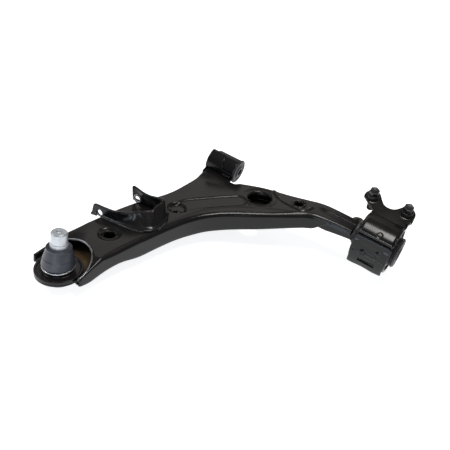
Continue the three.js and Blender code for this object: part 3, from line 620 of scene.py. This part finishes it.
jointCentre = (arm["jointX"], arm["jointY"])
cutoutCentre = (arm["cutoutX"], arm["cutoutY"])
cornerSize = press["frontCorner"] + (press["corner"] - press["frontCorner"]) * smooth(nearEdge[:, 1], 0, 50)
lipStart = smooth(nearEdge[:, 0], neckStart + 10, neckStart + 34)
nearTop = plainTop(nearEdge[:, 0], nearEdge[:, 1])
farTop = plainTop(farEdge[:, 0], farEdge[:, 1])
# the near wall's foot waves: higher behind the ball joint, lower along the middle
footY, footShift = np.array([
    (-14, 3), (0, 0), (15, 2.6), (29, 4.6), (44, 5.2), (58, 4.2), (72, 0.6), (86, -1.7), (140, -1.3),
    (170, -3.3), (205, -3.3), (222, -1.6), (256, 0.6), (281, 2.2), (291, 2.4),
]).T
nearShift = np.interp(nearEdge[:, 1], footY, footShift)
nearShift = np.convolve(np.pad(nearShift, 6, mode="edge"), np.ones(13) / 13, mode="valid")
nearRim = plainFloor(nearEdge[:, 0]) + nearShift
nearRim = nearRim * (1 - lipStart) + (nearTop - arm["neckLip"]) * lipStart
farRim = plainFloor(farEdge[:, 0]) * (1 - lipStart) + (farTop - arm["neckLip"]) * lipStart
cornerSize = cornerSize * (1 - lipStart) + press["neckCorner"] * lipStart
cuts = circlesOut(cutoutCentre, arm["cutoutRadius"] + 0.8, topHoles)
patch = sectionPatch(nearEdge, farEdge, upperTop, nearRim, farRim, cornerSize, 1, press["draft"], cuts)
shell("upper_shell", patch, upperTop, topHoles, armPaint, 1)


def freeEdge(edge, other, rim):
    # the middle line of a wall's free edge, half a sheet inside its outline
    direction = (other - edge) / np.linalg.norm(other - edge, axis=1, keepdims=True)
    return tube(np.column_stack([edge + direction * (halfSheet - press["draft"]), rim]), halfSheet, 10)


# The free edges of both walls are rounded, and so is the cut-out's arc between the walls.
halfSheet = sheet / 2
cutEnds = (-33, 45.5)
cutArc = arc(arm["cutoutRadius"] + 0.9, -17, 190, 170, cutoutCentre)
cutArc = cutArc[(cutArc[:, 0] > cutEnds[0]) & (cutArc[:, 0] < cutEnds[1])]
cutEdge = np.column_stack([cutArc, upperTop(cutArc[:, 0], cutArc[:, 1]) - halfSheet])
wallEdges = [freeEdge(nearEdge, farEdge, nearRim), freeEdge(farEdge, nearEdge, farRim)]
meshPiece("upper_shell_free_edges", wallEdges, armPlace, "arm", armPaint)
# the cut-out's arc gets the painted highlight finish
meshPiece("cutout_edge", [tube(cutEdge, halfSheet + 0.05, 12)], armPlace, "arm", highlightEdgeFinish)
print("upper shell made")

# The lower shell lies inside the upper one's walls; its floor carries the ball joint.
inset = sheet + arm["gap"]
direction = (farEdge - nearEdge) / np.linalg.norm(farEdge - nearEdge, axis=1, keepdims=True)
lowNear, lowFar = nearEdge + direction * inset, farEdge - direction * inset
floorHoles = {
    "lightening": {"centre": (0.506 * span - 3, 0.887 * reach - 14), "radius": 15.0, "lip": 1.6},
    "drain": {"centre": (0.251 * span - 3, 0.577 * reach - 14), "radius": 9.0, "lip": 1.2},
}


def floorTop(x, y):
    # the floor with one soft rib along its middle
    line = np.array([(20, 60), (40, 150), (80, 215), (140, 262), (200, 288)])
    return plainFloor(x) + 1.6 * (1 - smooth(lineDistance(x, y, line), 5, 12))


inner = {"underTop": 1.4, "least": 7, "stub": 1.2}
frontLow = smooth(lowNear[:, 1], 12, 40)


def innerWall(edge):
    # up to just under the top sheet, no lower than the least height, sunk to a stub at the front
    floor = plainFloor(edge[:, 0])
    full = np.maximum(plainTop(edge[:, 0], edge[:, 1]) - sheet - inner["underTop"], floor + inner["least"])
    return floor + inner["stub"] + (full - floor - inner["stub"]) * frontLow


floorRise = np.maximum(0.8, press["floorCorner"] * frontLow) * (1 - 0.62 * lipStart)
cuts = circlesOut(jointCentre, arm["flangeRadius"] - 1.2, floorHoles)
patch = sectionPatch(lowNear, lowFar, floorTop, innerWall(lowNear), innerWall(lowFar), floorRise, -1, 0.0,
                     cuts, np.maximum(nearShift, 0) * (1 - lipStart))
shell("lower_shell", patch, floorTop, floorHoles, innerPaint, -1)
nose = rounded([(21.3, -24.2), (29, -24.2), (31.5, -23.4), (31.5, -20.8), (21.3, -20.8)],
               [0, 1.5, 1.6, 0.9, 0], 6)
meshPiece("nose_plate", [turned(nose, 128)], jointPlace, "arm", armPaint)
print("lower shell made")

# The ball joint's heights count from the arm's top plane, at the joint's own origin.
joint = {
    "lean": math.radians(5.5), "flangeLow": -20.7, "flangeHigh": -17.5, "ballCentre": -15.0,
    "cavity": 15.5, "ball": 12.7, "foot": -33.7, "housing": 21.0, "collar": -13.5,
    "bootBase": -13.2, "bootSplit": 1.3, "bootTop": 15.8, "stud": 10.9, "studCollar": 11.6,
    "studNeck": 6.8, "studTop": 36.8,
}


def jointArc(radius, startDegrees, endDegrees, steps):
    # an arc about the ball's middle
    return arc(radius, startDegrees, endDegrees, steps, (0, joint["ballCentre"]))


def leaned(part, start=None, end=None):
    # turned about the ball's middle: all of the lean, or growing from start to end of the height
    points, faces = part
    weight = 1.0 if start is None else smooth(points[:, 2], start, end)
    angle = -joint["lean"] * weight
    y, z = points[:, 1], points[:, 2] - joint["ballCentre"]
    turnedY = y * np.cos(angle) - z * np.sin(angle)
    turnedZ = y * np.sin(angle) + z * np.cos(angle) + joint["ballCentre"]
    return np.stack([points[:, 0], turnedY, turnedZ], axis=1), faces


foot, wide, high = joint["foot"], joint["housing"], joint["flangeHigh"]
housing = np.concatenate([
    jointArc(joint["cavity"], -62, 37, 24),
    rounded([(13.8, -4.5), (16.4, -4.5), (17.3, joint["collar"]), (20.2, joint["collar"]), (20.2, high),
             (27.6, high), (28.6, high + 1.3), (31.5, high + 1.5), (31.5, joint["flangeLow"]),
             (wide, joint["flangeLow"]), (wide, foot + 2), (wide - 2, foot), (wide - 5, foot),
             (wide - 5, foot + 3.2)],
            [0.4, 0.8, 0.4, 0.6, 1.4, 1.2, 1.0, 1.0, 0.6, 1.2, 1.4, 1.0, 0.5, 0], 6, False),
])
turnedPiece("ball_joint_housing", housing, jointPlace, "arm", armPaint, 128)
cover = rounded([(0, foot + 0.6), (wide - 9, foot + 0.6), (wide - 6.2, foot + 0.2), (wide - 5.3, foot + 1.4),
                 (wide - 5.3, foot + 2.9), (0, foot + 2.9)], [0, 2, 0.8, 0.5, 0, 0], 5)
turnedPiece("ball_joint_cover", cover, jointPlace, "arm", darkSteel)
linerShape = np.concatenate([jointArc(joint["cavity"] - 0.3, -38, 38, 20),
                             jointArc(joint["ball"] + 0.3, 38, -38, 20)])
turnedPiece("ball_liner", linerShape, jointPlace, "ball_liner", linerPlastic)

neckAngle = math.degrees(math.acos(joint["studNeck"] / joint["ball"]))
bootTop, collarRadius, studTop = joint["bootTop"], joint["studCollar"], joint["studTop"]
stud = np.concatenate([
    jointArc(joint["ball"], -90, neckAngle, 40),
    rounded([(6.8, joint["ballCentre"] + 17.7), (9.4, bootTop - 9), (10.4, bootTop - 1),
             (collarRadius, bootTop - 0.2), (collarRadius, bootTop + 5.4), (joint["stud"], bootTop + 6.1),
             (joint["stud"], studTop - 1.7), (joint["stud"] - 1.5, studTop), (3.9, studTop),
             (2.4, studTop - 2.4), (0, studTop - 4)],
            [3, 2, 0.8, 0.7, 0.7, 0.35, 0.8, 0.9, 0.6, 0.4, 0], 5, False),
])
meshPiece("ball_stud_skin", [leaned(turned(stud, 128))], jointPlace, "ball_stud", zincSteel, ["ball_stud"])

# The boot is made in two lengths that meet at its middle, each leaned a little more towards its top.
boot = {"leanStart": joint["bootBase"] + 2, "leanEnd": bootTop - 8}
lowerOutside = curveThrough([(19.6, -13.2), (19.5, -12.2), (19.6, -10.9), (20.5, -10.1), (21.6, -9.2),
                             (21.95, -8.0), (21.6, -6.2), (20.9, -3.4), (20.3, -1.0), (20.35, -0.1),
                             (19.75, 1.3)], 52)
upperOutside = curveThrough([(19.75, 1.3), (19.3, 2.3), (18.9, 4), (18.3, 6.2), (17.6, 8.8), (16.9, 11),
                             (16.45, 12.6), (16.5, 13.6), (16.75, 14.3), (16.5, 14.95), (15.9, 15.2)], 44)
lowerInside = curveThrough([(17.6, 1.3), (18.4, -3), (19.4, -8.0), (17.6, -9.8), (17.6, -13.2)], 24)
upperInside = curveThrough([(14.75, 15.1), (14.75, 10.4), (15.2, 8.6), (16.4, 5.4), (17.6, 1.3)], 24)


def bootLength(name, outline, low, high):
    # a length of boot, leaned more towards its top and baked into the row frame with no body; low and high
    # give two end points that nothing uses
    part = leaned(turned(np.concatenate(outline), 128), boot["leanStart"], boot["leanEnd"])
    piece = meshPiece(f"{name}_skin", [part], jointPlace, None, bootRubber, [name])
    ends = [(jointPlace[0] + height * armZ) * mm for height in (low, high)]
    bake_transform(piece)


bootLength("boot_lower", [lowerOutside, lowerInside], joint["bootBase"] + 1.5,
           joint["bootSplit"] - 1.2)
bootLength("boot_upper", [upperOutside, upperInside],
           joint["bootSplit"] + 3.0, bootTop - 3)
seal = rounded([(11.9, 11.0), (14.4, 11.0), (14.4, 15.4), (11.9, 15.9)], [0.3, 0.5, 0.9, 0.4], 5)
meshPiece("boot_seal_ring_skin", [leaned(turned(seal, 96))], jointPlace, "boot_seal_ring", bootRubber,
          ["boot_seal_ring"])
wire = arc(1.0, 0, 360, 16, (20.7, joint["bootBase"] + 1.1))[:-1]
turnedPiece("boot_clamp_ring", wire, jointPlace, "arm", brightSteel, 128)
print("ball joint made")

# The link bracket is a sheet bent up in a U and open at its far end.
link = {"sheet": 3.2, "hole": 4.6, "rows": 26, "nearSteps": 100, "backSteps": 110, "facetSteps": 12,
        "flare": 3.2, "hollow": 2.6, "holeBand": 0.5, "rim": 1.65}
nearFoot = [(-26.5, 101.3, -0.4), (-14, 101.2, 0.2), (0, 101.2, 0.4), (16, 101, 0.4), (32, 100.9, 0.4),
            (46, 101.8, 0.4), (55, 104.8, 0.4), (62.4, 111.2, 0.4)]
backFoot = [(63.6, 113.4, 0.4), (66.4, 121, 0.3), (66.8, 131, 0.3), (65.5, 141, 0.3), (62, 149.5, 0.3),
            (55.5, 157, 0.4), (46, 160.4, 0.4), (34, 160.4, 0.4), (18, 159.9, 0.4), (1, 159, 0.4)]
nearTopLine = [(-25, 103, 10.2), (-20.5, 102.7, 14.0), (-8, 102.2, 14.2), (8, 102, 14.8), (20, 103.4, 16),
               (32, 108.4, 17.2), (40, 115.2, 18.2), (47.5, 121.8, 18.8)]
backTopLine = [(55.8, 129, 19.0), (54.2, 134, 19.8), (54.3, 141, 20.2), (56, 150, 21.2), (54.6, 155, 22.4),
               (47, 157, 21.8), (33, 156.4, 19.8), (20, 157.2, 20.0), (7, 159, 22.4), (0.5, 158.4, 24.0)]


def inThree(first, last):
    # two smooth lengths and a flat facet between them
    a, b = curveThrough(first, link["nearSteps"]), curveThrough(last, link["backSteps"])
    return np.concatenate([a, np.linspace(a[-1], b[0], link["facetSteps"])[1:-1], b])


linkFoot = inThree(nearFoot, backFoot)
linkTop = inThree(nearTopLine, backTopLine)
station = np.arange(len(linkFoot))
rise = np.linspace(0, 1, link["rows"])[:, None, None]
wall = linkFoot[None] * (1 - rise) + linkTop[None] * rise
# the foot flares outwards along a quarter round, so the wall meets the arm's top softly
outwards = np.stack([-np.gradient(linkFoot[:, 1]), np.gradient(linkFoot[:, 0])], axis=1)
outwards = -outwards / np.linalg.norm(outwards, axis=1, keepdims=True)
flare = link["flare"] * (1 - np.clip(rise[..., 0] / 0.2, 0, 1)) ** 2
wall[..., :2] += flare[..., None] * outwards[None]
# the near wall is hollow, most of all beside the facet
hollow = link["hollow"] * smooth(linkFoot[:, 0], 12, 40) * (station < link["nearSteps"])
hollow = hollow * smooth(linkFoot[:, 0], 62.4, 55)
wall[..., :2] -= (hollow[None] * np.sin(math.pi * rise[..., 0]))[..., None] * outwards[None]
nearSide = station < len(station) // 2
linkHoles = [((-13.4, 4.4), nearSide, 102.4), ((9.0, 6.6), ~nearSide, 158.4)]
flat = np.stack([wall[..., 0], wall[..., 2]], axis=-1)
keep = np.ones(flat.shape[:2], bool)
for centre, onSide, _ in linkHoles:
    sx, sz, distance = snapped(flat[..., 0], flat[..., 1], centre, link["hole"] + 0.5, link["holeBand"])
    wall[..., 0] = np.where(onSide, sx, wall[..., 0])
    wall[..., 2] = np.where(onSide, sz, wall[..., 2])
    keep &= ~onSide | (distance > link["hole"] + 0.5 - 1e-6)
meshPiece("link_bracket_skin", [grid(wall, keep)], armPlace, "arm", armPaint, ["link_bracket"],
          thickness=link["sheet"], facing=(0.2, -1, 0), offset=0.0)
topEdge = wall[-1] + [0, 0, 0.2]
meshPiece("link_bracket_edge", [tube(topEdge, 1.62, 12)], armPlace, "arm", armPaint)


def sideRing(centre, radius, y, tubeRadius):
    # a ring that stands upright, across the Y axis: a small circle carried round a large one
    a = np.linspace(0, 2 * math.pi, 49)
    path = np.stack([centre[0] + radius * np.cos(a), y + 0 * a, centre[1] + radius * np.sin(a)], axis=1)
    b = np.linspace(0, 2 * math.pi, 12, endpoint=False)
    out = np.stack([np.cos(a), 0 * a, np.sin(a)], axis=1)
    rows = path[:, None] + tubeRadius * (np.cos(b)[None, :, None] * out[:, None]
                                        + np.sin(b)[None, :, None] * np.array([0, 1, 0]))
    return grid(rows[:-1], closeRows=True, closeColumns=True)


rims = [sideRing(centre, link["hole"] + 0.9, y, link["rim"]) for centre, _, y in linkHoles]
# the link's hole rims get the same painted highlight finish
meshPiece("link_hole_rims", rims, armPlace, "arm", highlightEdgeFinish)


def weld(name, path, radius, ripple=0.35, pitch=3.2, place=armPlace):
    # a rippled bead along a path
    length = np.linalg.norm(np.diff(path, axis=0), axis=1).sum()
    steps = max(24, int(length / 0.28))
    meshPiece(name, [tube(evenly(path, steps), radius, 14, ripple, pitch)], place, "arm", weldPaint)


footLine = linkFoot + np.column_stack([outwards * 3.6, 0.4 + 0 * linkFoot[:, 0]])
weld("weld_link_near", footLine[20:88], 1.9)
weld("weld_link_back", footLine[120:146], 1.7)
weld("weld_link_far", footLine[166:212], 1.8)
print("link bracket made")


def ringProfile(inside, outside, low, high, radius, steps):
    # a rectangle from the inner to the outer radius, with its corners rounded
    return rounded([(inside, low), (outside, low), (outside, high), (inside, high)], radius, steps)


# The front bush lies along the pivot axis; lengths count from the arm's origin.
front = {"bore": 14.3, "flapRadius": 18.9, "left": 38.5, "right": 84.0, "steps": 90, "rows": 56,
         "startAngle": 205, "leftAngle": 96, "rightAngle": 178, "climbEnd": 0.35, "sheet": 2.8}
tubeShape = ringProfile(front["bore"], arm["tubeRadius"], tubeLeft, tubeRight, [0.5, 0.9, 0.9, 0.5], 6)
turnedPiece("front_bush_tube", tubeShape, pivotPlace, "arm", armPaint, 128)
sleeve = ringProfile(12.6, 14.0, 47.5, 82.5, 0.3, 4)
turnedPiece("front_bush_outer_sleeve", sleeve, pivotPlace, "arm", darkSteel)
rubber = np.concatenate([
    curveThrough([(8.3, 43.9), (9.2, 43.6), (10.4, 44.6), (12.2, 43.9), (14.0, 43.7), (15.9, 44.5),
                  (16.7, 45.9), (16.2, 46.7)], 34),
    [(12.3, 46.7), (12.3, 83.3)],
    curveThrough([(17.6, 83.3), (18.35, 84.0), (18.2, 85.1), (16.6, 86.1), (13.8, 86.5), (11.6, 85.6),
                  (10.2, 86.2), (9.0, 86.7), (8.3, 86.4)], 34),
])
turnedPiece("front_bush_rubber", rubber, pivotPlace, "arm", bushRubber, 128)
innerTube = ringProfile(5.2, 8.0, 42.5, 87.5, [0.8, 0.5, 0.5, 0.8], 5)
turnedPiece("front_bush_inner_sleeve", innerTube, pivotPlace, "front_bush_inner_sleeve", darkSteel)

# The arm's top runs up into a flap that wraps over the left part of the tube; the right part stays bare.
flapX = np.linspace(front["left"], front["right"], front["steps"])
lastAngle = front["rightAngle"] - (front["rightAngle"] - front["leftAngle"]) * smooth(flapX, 66.5, 58.0)
startZ = front["flapRadius"] * math.sin(math.radians(front["startAngle"]))
armTop = upperTop(flapX, np.full(len(flapX), reach - 30))
armTopZ = (flapX * math.sin(tilt) + armTop * math.cos(tilt)) - arm["pivotRise"]
rows = []
for u in np.linspace(0, 1, front["rows"]):
    # up to climbEnd the sheet climbs off the arm's top, and beyond it it turns round the tube
    lead = 1 - np.clip(u / front["climbEnd"], 0, 1)
    turning = np.clip((u - front["climbEnd"]) / 0.65, 0, 1)
    angle = np.radians(front["startAngle"] + (lastAngle - front["startAngle"]) * turning)
    y = front["flapRadius"] * np.cos(angle) - 9.5 * lead**1.6
    climbing = startZ + (armTopZ - startZ) * lead**0.55
    rows.append(np.stack([flapX, y, climbing if lead > 0 else front["flapRadius"] * np.sin(angle)], axis=1))
flap = np.array(rows)
meshPiece("front_bush_flap", [grid(flap)], pivotPlace, "arm", armPaint, thickness=front["sheet"],
          facing=(0, -1, 1))
flapEdge = np.concatenate([flap[:, 0][::-1][-1:], flap[:, 0], flap[-1][1:]])
flapRim = evenly(flapEdge, 260)
radial = flapRim[:, 1:] / np.linalg.norm(flapRim[:, 1:], axis=1, keepdims=True)
flapRim[:, 1:] -= radial * front["sheet"] / 2
meshPiece("front_bush_flap_edge", [tube(flapRim, 1.45, 12)], pivotPlace, "arm", armPaint)
weld("weld_bush_near", np.linspace((66, -17.6, -4.6), (82.5, -17.6, -4.6), 30), 1.9, place=pivotPlace)
weld("weld_bush_under", np.linspace((48, 9, -16.2), (82, 9, -16.2), 60), 2.2, place=pivotPlace)
print("front bush made")

# The rear bush lies along the same axis.
neckEnd = span * math.cos(tilt) - (neckTop - arm["neckDepth"]) * math.sin(tilt)
rear = {"left": 292.0, "right": 344.0, "sheet": 3.8, "middle": 33.2, "bend": 51.0, "ridge": 138.0,
        "rise": math.radians(20), "earOut": 27.0, "ear": 11.0, "edge": 1.93, "columns": 150}
flangeX = neckEnd + 0.3
pin = rounded([(0, flangeX), (17.5, flangeX), (17.5, flangeX + 3), (7.5, flangeX + 3), (7.5, 350), (6.5, 351),
               (0, 351)], [0, 1.0, 1.0, 0.6, 0.5, 0.5, 0], 5)
turnedPiece("rear_pin", pin, pivotPlace, "arm", darkSteel)
washerX = flangeX + 3.3
washer = rounded([(7.8, washerX), (20, washerX), (23, washerX + 1.6), (23, washerX + 3.2),
                  (19.4, washerX + 1.8), (7.8, washerX + 1.8)], [0.3, 2, 0.9, 0.7, 2, 0.3], 6)
turnedPiece("rear_stop_washer", washer, pivotPlace, "arm", darkSteel, 128)
innerSleeve = ringProfile(7.8, 10.8, washerX + 2.1, 349.5, 0.5, 4)
turnedPiece("rear_bush_inner_sleeve", innerSleeve, pivotPlace, "arm", darkSteel)
ribs = [(23.0 - 1.5 * (k % 2), 344.8 + 1.45 * k) for k in range(6)]
rearRubber = np.concatenate([
    [(11.1, 292.6), (12.4, 291.9)], curveThrough([(14, 293.4), (17, 292.6), (20.5, 293.2), (26.5, 295.4),
                                                  (28.5, 297)], 26),
    [(28.5, 342.8)],
    curveThrough([(26, 343.8), *ribs, (21.0, 353.0), (17, 352.2), (13, 353), (11.1, 352.4)], 70),
])
turnedPiece("rear_bush_rubber", rearRubber, pivotPlace, "rear_bracket", bushRubber, 128)
outerSleeve = ringProfile(28.8, 31, 293, 343, 0.5, 4)
turnedPiece("rear_bush_outer_sleeve", outerSleeve, pivotPlace, "rear_bracket", darkSteel, 128)

# The strap: over the bush from its ridge, round to the bend, then out into the bolted flange.
bendAngle = math.radians(rear["bend"])
bend = np.array([rear["middle"] * math.cos(bendAngle), rear["middle"] * math.sin(bendAngle)])
outward = np.array([math.cos(rear["rise"]), math.sin(rear["rise"])])
profile = rounded(np.concatenate([
    [(-30.8, 26.4), (-28.6, 24.6)], arc(rear["middle"], rear["ridge"], rear["bend"] + 6, 60),
    [bend + 0.4 * outward], [bend + 7 * outward],
]), np.concatenate([[0, 1.5], np.zeros(60), [7.0], [0]]), 12, False)
profile = evenly(profile, 130)
topX = {"front": rear["left"] - 11, "rear": rear["left"] + 43}
flangeTop = np.concatenate([
    arc(rear["ear"], 208, 62, 50, (topX["front"], rear["earOut"])),
    curveThrough([(topX["front"] + 6.5, 36.2), (topX["front"] + 12, 29.0), (topX["front"] + 19, 22.2),
                  (topX["front"] + 27, 20.2), (topX["rear"] - 18, 22.4), (topX["rear"] - 12, 28.4),
                  (topX["rear"] - 6.5, 36.0)], 60)[1:-1],
    arc(rear["ear"], 118, -8, 50, (topX["rear"], rear["earOut"])),
    curveThrough([(topX["rear"] + 11.4, 22), (topX["rear"] + 11.8, 14), (topX["rear"] + 10, 9)], 12)[1:],
])
flangeTop = evenly(flangeTop, rear["columns"])
strapX = np.linspace(rear["left"], rear["right"], rear["columns"])
curved = np.stack(np.broadcast_arrays(strapX, profile[:, :1], profile[:, 1:]), axis=-1)
w = np.linspace(0, 1, 60)[1:, None]
across = strapX[None] * (1 - w) + flangeTop[None, :, 0] * w
out = 7 * (1 - w) + flangeTop[None, :, 1] * w
curl = 6.5 * smooth(np.linspace(0, 1, rear["columns"]), 0.955, 1.0)[None] * smooth(w, 0.0, 0.5)
seat = 0.5 * (1 - smooth(np.minimum(circleDistance(across, out, (topX["front"], 27)),
                                    circleDistance(across, out, (topX["rear"], 27))), 9.6, 11.5))
flangeRows = np.stack([across, bend[0] + out * outward[0] - (curl + seat) * outward[1],
                       bend[1] + out * outward[1] + (curl + seat) * outward[0]], axis=-1)
strap = np.concatenate([curved, flangeRows])
# dents pressed in the curved part: a small deep one and a wider shallow one
strapDimple = (318.5, 58.0)
radius = np.hypot(strap[..., 1], strap[..., 2])
angle = np.degrees(np.arctan2(strap[..., 2], strap[..., 1]))
arcLength = np.radians(angle) * rear["middle"]


def dentAt(x, degrees, inside, outside, depth):
    # a round dent: full depth as far as inside, fading out at outside
    away = np.hypot(strap[..., 0] - x, arcLength - math.radians(degrees) * rear["middle"])
    return -depth * (1 - smooth(away, inside, outside))


dent = dentAt(321, 128, 3.2, 5.2, 0.5) + dentAt(strapDimple[0], strapDimple[1], 1.0, 4.6, 1.7)
edgeRoll = -1.3 * (smooth(strap[..., 0], 295.5, 292) + smooth(strap[..., 0], 340.5, 344)) * (angle > 60)
onArc = (np.arange(len(strap)) < 108)[:, None] & (np.arange(len(strap)) > 8)[:, None]
scale = 1 + (dent + edgeRoll) * onArc / radius
strap[..., 1] *= scale
strap[..., 2] *= scale


def bracketPiece(name, parts, **settings):
    # a painted piece of the bracket
    meshPiece(name, parts, pivotPlace, "rear_bracket", bracketPaint, **settings)


bracketPiece("rear_bracket_strap_skin", [grid(strap)], replaces=["rear_bracket_strap"],
             thickness=rear["sheet"], facing=(0, 0, 1), offset=0.0)
border = np.concatenate([strap[0], strap[1:, -1], strap[-1, ::-1][1:], strap[::-1, 0][1:-1]])
rim = evenly(border, 900)
bracketPiece("rear_bracket_strap_edge", [tube(np.concatenate([rim, rim[:1]]), rear["edge"], 12)])

# The saddle closes round the bush from below; its near side is pressed in and ends in a wavy hem.
saddleX = np.linspace(rear["left"], rear["right"], 120)
saddleAngle = np.linspace(146, 360 + rear["bend"] - 12, 190)[:, None]
pocket = -1.9 * (1 - smooth(np.abs(saddleAngle - 172), 4, 17))
pocket = pocket * (1 - smooth(np.abs(saddleX[None] - 317), 10, 21))
degreeLength = 0.58
nearBoss, farBoss = (
    1.5 * (1 - smooth(np.hypot(saddleX[None] - x, (saddleAngle - degrees) * degreeLength), 0.5, 5.0))
    for x, degrees in ((310, 184), (330, 171)))
spread = 1.4 * smooth(saddleAngle, 158, 146)
under = 0.9 * (1 - smooth(np.abs(saddleAngle - 270), 30, 42))
under = under * (1 - smooth(np.abs(saddleX[None] - 318), 15, 20))
saddleRadius = rear["middle"] + pocket + nearBoss + farBoss + spread + under
a = np.radians(saddleAngle)
saddle = np.stack(np.broadcast_arrays(saddleX, saddleRadius * np.cos(a), saddleRadius * np.sin(a)), axis=-1)
skirtT = np.linspace(0, 1, 40)[:, None]
skirtAngle = np.radians(188 + 36 * skirtT)
wave = np.sin((saddleX[None] - 292) / 52 * math.pi * 3 + 0.6)
skirtRadius = 34.6 + 5.6 * skirtT**1.8 + 1.1 * wave * skirtT**2
skirtZ = skirtRadius * np.sin(skirtAngle) + 0.9 * wave * skirtT
skirt = np.stack(np.broadcast_arrays(saddleX, skirtRadius * np.cos(skirtAngle), skirtZ), axis=-1)
slotKeep = ~((np.abs(saddleX[None] - 319) < 13) & (np.abs(skirtT - 0.5) < 0.13))
bracketPiece("rear_bracket_saddle_skin", [grid(saddle)], replaces=["rear_bracket_saddle"],
             thickness=rear["sheet"], offset=0.0)
bracketPiece("rear_bracket_skirt", [grid(skirt, slotKeep)], thickness=3.4, facing=(0, -1, 0), offset=0.0)
edgeLines = [evenly(saddle[:, 0], 400), evenly(saddle[:, -1], 400), evenly(saddle[0], 120)]
bracketPiece("rear_bracket_saddle_edges", [tube(evenly(skirt[-1], 200), 1.75, 12),
                                           *[tube(line, rear["edge"], 12) for line in edgeLines]])

# Bolts stand square on the flange, each with a spacer, a washer face and a crowned hexagon.
flangeAxes = np.array([[1, 0, 0], [0, outward[0], outward[1]], [0, -outward[1], outward[0]]])
flangeOrigin = pivotPlace[0] + [0, bend[0], bend[1]]


def hexHead(across, low, high, crown, sides=96):
    # each ring is the hexagon, drawn in to a circle where that is smaller
    a = np.linspace(0, 2 * math.pi, sides, endpoint=False)
    hexagon = across / 2 / np.cos((a + math.pi / 6) % (math.pi / 3) - math.pi / 6)
    corner = across / math.sqrt(3)
    limits = [(0, low), (corner * 1.02, low), (corner * 1.02, high - crown),
              (corner * 0.97, high - crown * 0.45), (across / 2 - 0.15, high - 0.12),
              (across / 2 - 0.6, high), (across / 2 - 1.8, high - 0.3), (0, high - 0.35)]
    rows = []
    for limit, height in limits:
        r = np.minimum(hexagon, limit)
        rows.append(np.stack([r * np.cos(a), r * np.sin(a), height + 0 * a], axis=1))
    return grid(np.array(rows), closeColumns=True)


for side, x in topX.items():
    boltPlace = (flangeOrigin + np.array([x, rear["earOut"], 0]) @ flangeAxes, flangeAxes)
    spacer = ringProfile(5.3, 8.4, 2.2, 7.2, [0.2, 0.6, 0.6, 0.2], 4)
    turnedPiece(f"bolt_spacer_{side}", spacer, boltPlace, "rear_bracket", darkSteel, 72)
    shank = rounded([(0, -26), (4, -26), (5, -25), (5, 7.5), (9, 7.5), (9, 8.7), (7.2, 9.4), (0, 9.4)],
                    [0, 0.3, 0.5, 0, 0.4, 0.5, 0.4, 0], 4)
    threadHeights = np.arange(-24.6, -3, 0.62)
    thread = [(4.9 + 0.28 * (-1) ** k, h) for k, h in enumerate(threadHeights)]
    shank = np.concatenate([shank[shank[:, 1] < -24.9], thread, shank[shank[:, 1] > 5]])
    meshPiece(f"bracket_bolt_{side}_skin", [turned(shank, 72), hexHead(13, 8.9, 17, 1.3)], boltPlace,
              "rear_bracket", boltSteel, [f"bracket_bolt_{side}"], sharp=32)

# The neck's far corner carries a rounded tab with a hole, and a weld runs two thirds of the way round the
# pin's flange.
lobe, lobeFaces = turned(ringProfile(2.7, 8.7, -1.5, 1.5, [0.5, 1.0, 1.0, 0.7], 5), 72)
lobeMiddle = (span - 4, reach + 16.5, neckTop - 1.6)
meshPiece("neck_tab", [(lobe + lobeMiddle, lobeFaces)], armPlace, "arm", armPaint)
sweep = np.radians(np.linspace(-30, 210, 220))
pinRing = np.stack([0 * sweep + flangeX - 0.4, 16.6 * np.cos(sweep), 11.5 * np.sin(sweep) - 0.5], axis=1)
weld("weld_neck", pinRing, 1.8, 0.4, 3.0, pivotPlace)
print("rear bush and bracket made")

# The floor lies just under the lowest point; a dim sky and five soft lights stand round it.
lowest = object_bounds()[0][2] / mm
floorMesh = bpy.data.meshes.new("floor")
half = 6.0
floorCorners = [(-half, -half, 0), (half, -half, 0), (half, half, 0), (-half, half, 0)]
floorMesh.from_pydata(floorCorners, [], [(0, 1, 2, 3)])
floorMesh.transform(Matrix.Translation((0, 0, min(lowest, 0) * mm - 0.001)))
floor = bpy.data.objects.new("floor", floorMesh)
bpy.context.scene.collection.objects.link(floor)
pale = Finish("pale floor")
floorMesh.materials.append(pale.done(Base_Color=(0.86, 0.86, 0.87, 1), Roughness=0.9, Emission_Strength=0.8,
                                     Emission_Color=(1, 1, 1, 1)))
world = bpy.data.worlds.new("studio")
world.use_nodes = True
world.node_tree.nodes["Background"].inputs["Color"].default_value = (0.93, 0.96, 1.0, 1)
world.node_tree.nodes["Background"].inputs["Strength"].default_value = 0.16
bpy.context.scene.world = world
bpy.context.scene.view_settings.view_transform = "Standard"


def softLight(name, place, size, power, colour, aim=(0, 0, 0.05)):
    # a rectangle of light that looks from its place to the aim
    lamp = bpy.data.lights.new(name, "AREA")
    lamp.shape = "RECTANGLE"
    lamp.size, lamp.size_y = size
    lamp.energy = power
    lamp.color = colour
    holder = bpy.data.objects.new(name, lamp)
    way = (Vector(aim) - Vector(place)).to_track_quat("-Z", "Y")
    holder.matrix_world = Matrix.Translation(Vector(place)) @ way.to_matrix().to_4x4()
    bpy.context.scene.collection.objects.link(holder)


softLight("overhead", (0.1, 0.0, 1.3), (0.55, 0.3), 9, (1.0, 0.98, 0.95))
softLight("far", (-0.75, 1.25, 0.95), (1.5, 0.8), 2.3, (1.0, 0.94, 0.88))
softLight("near", (0.35, -1.3, 0.7), (1.0, 0.22), 4.2, (0.82, 0.9, 1.0))
softLight("low", (0.1, -1.5, 0.2), (0.7, 0.16), 2.2, (0.74, 0.86, 1.0))
softLight("left", (-1.2, -0.5, 0.9), (0.3, 0.5), 5, (0.92, 0.96, 1.0))
print("floor and light made")
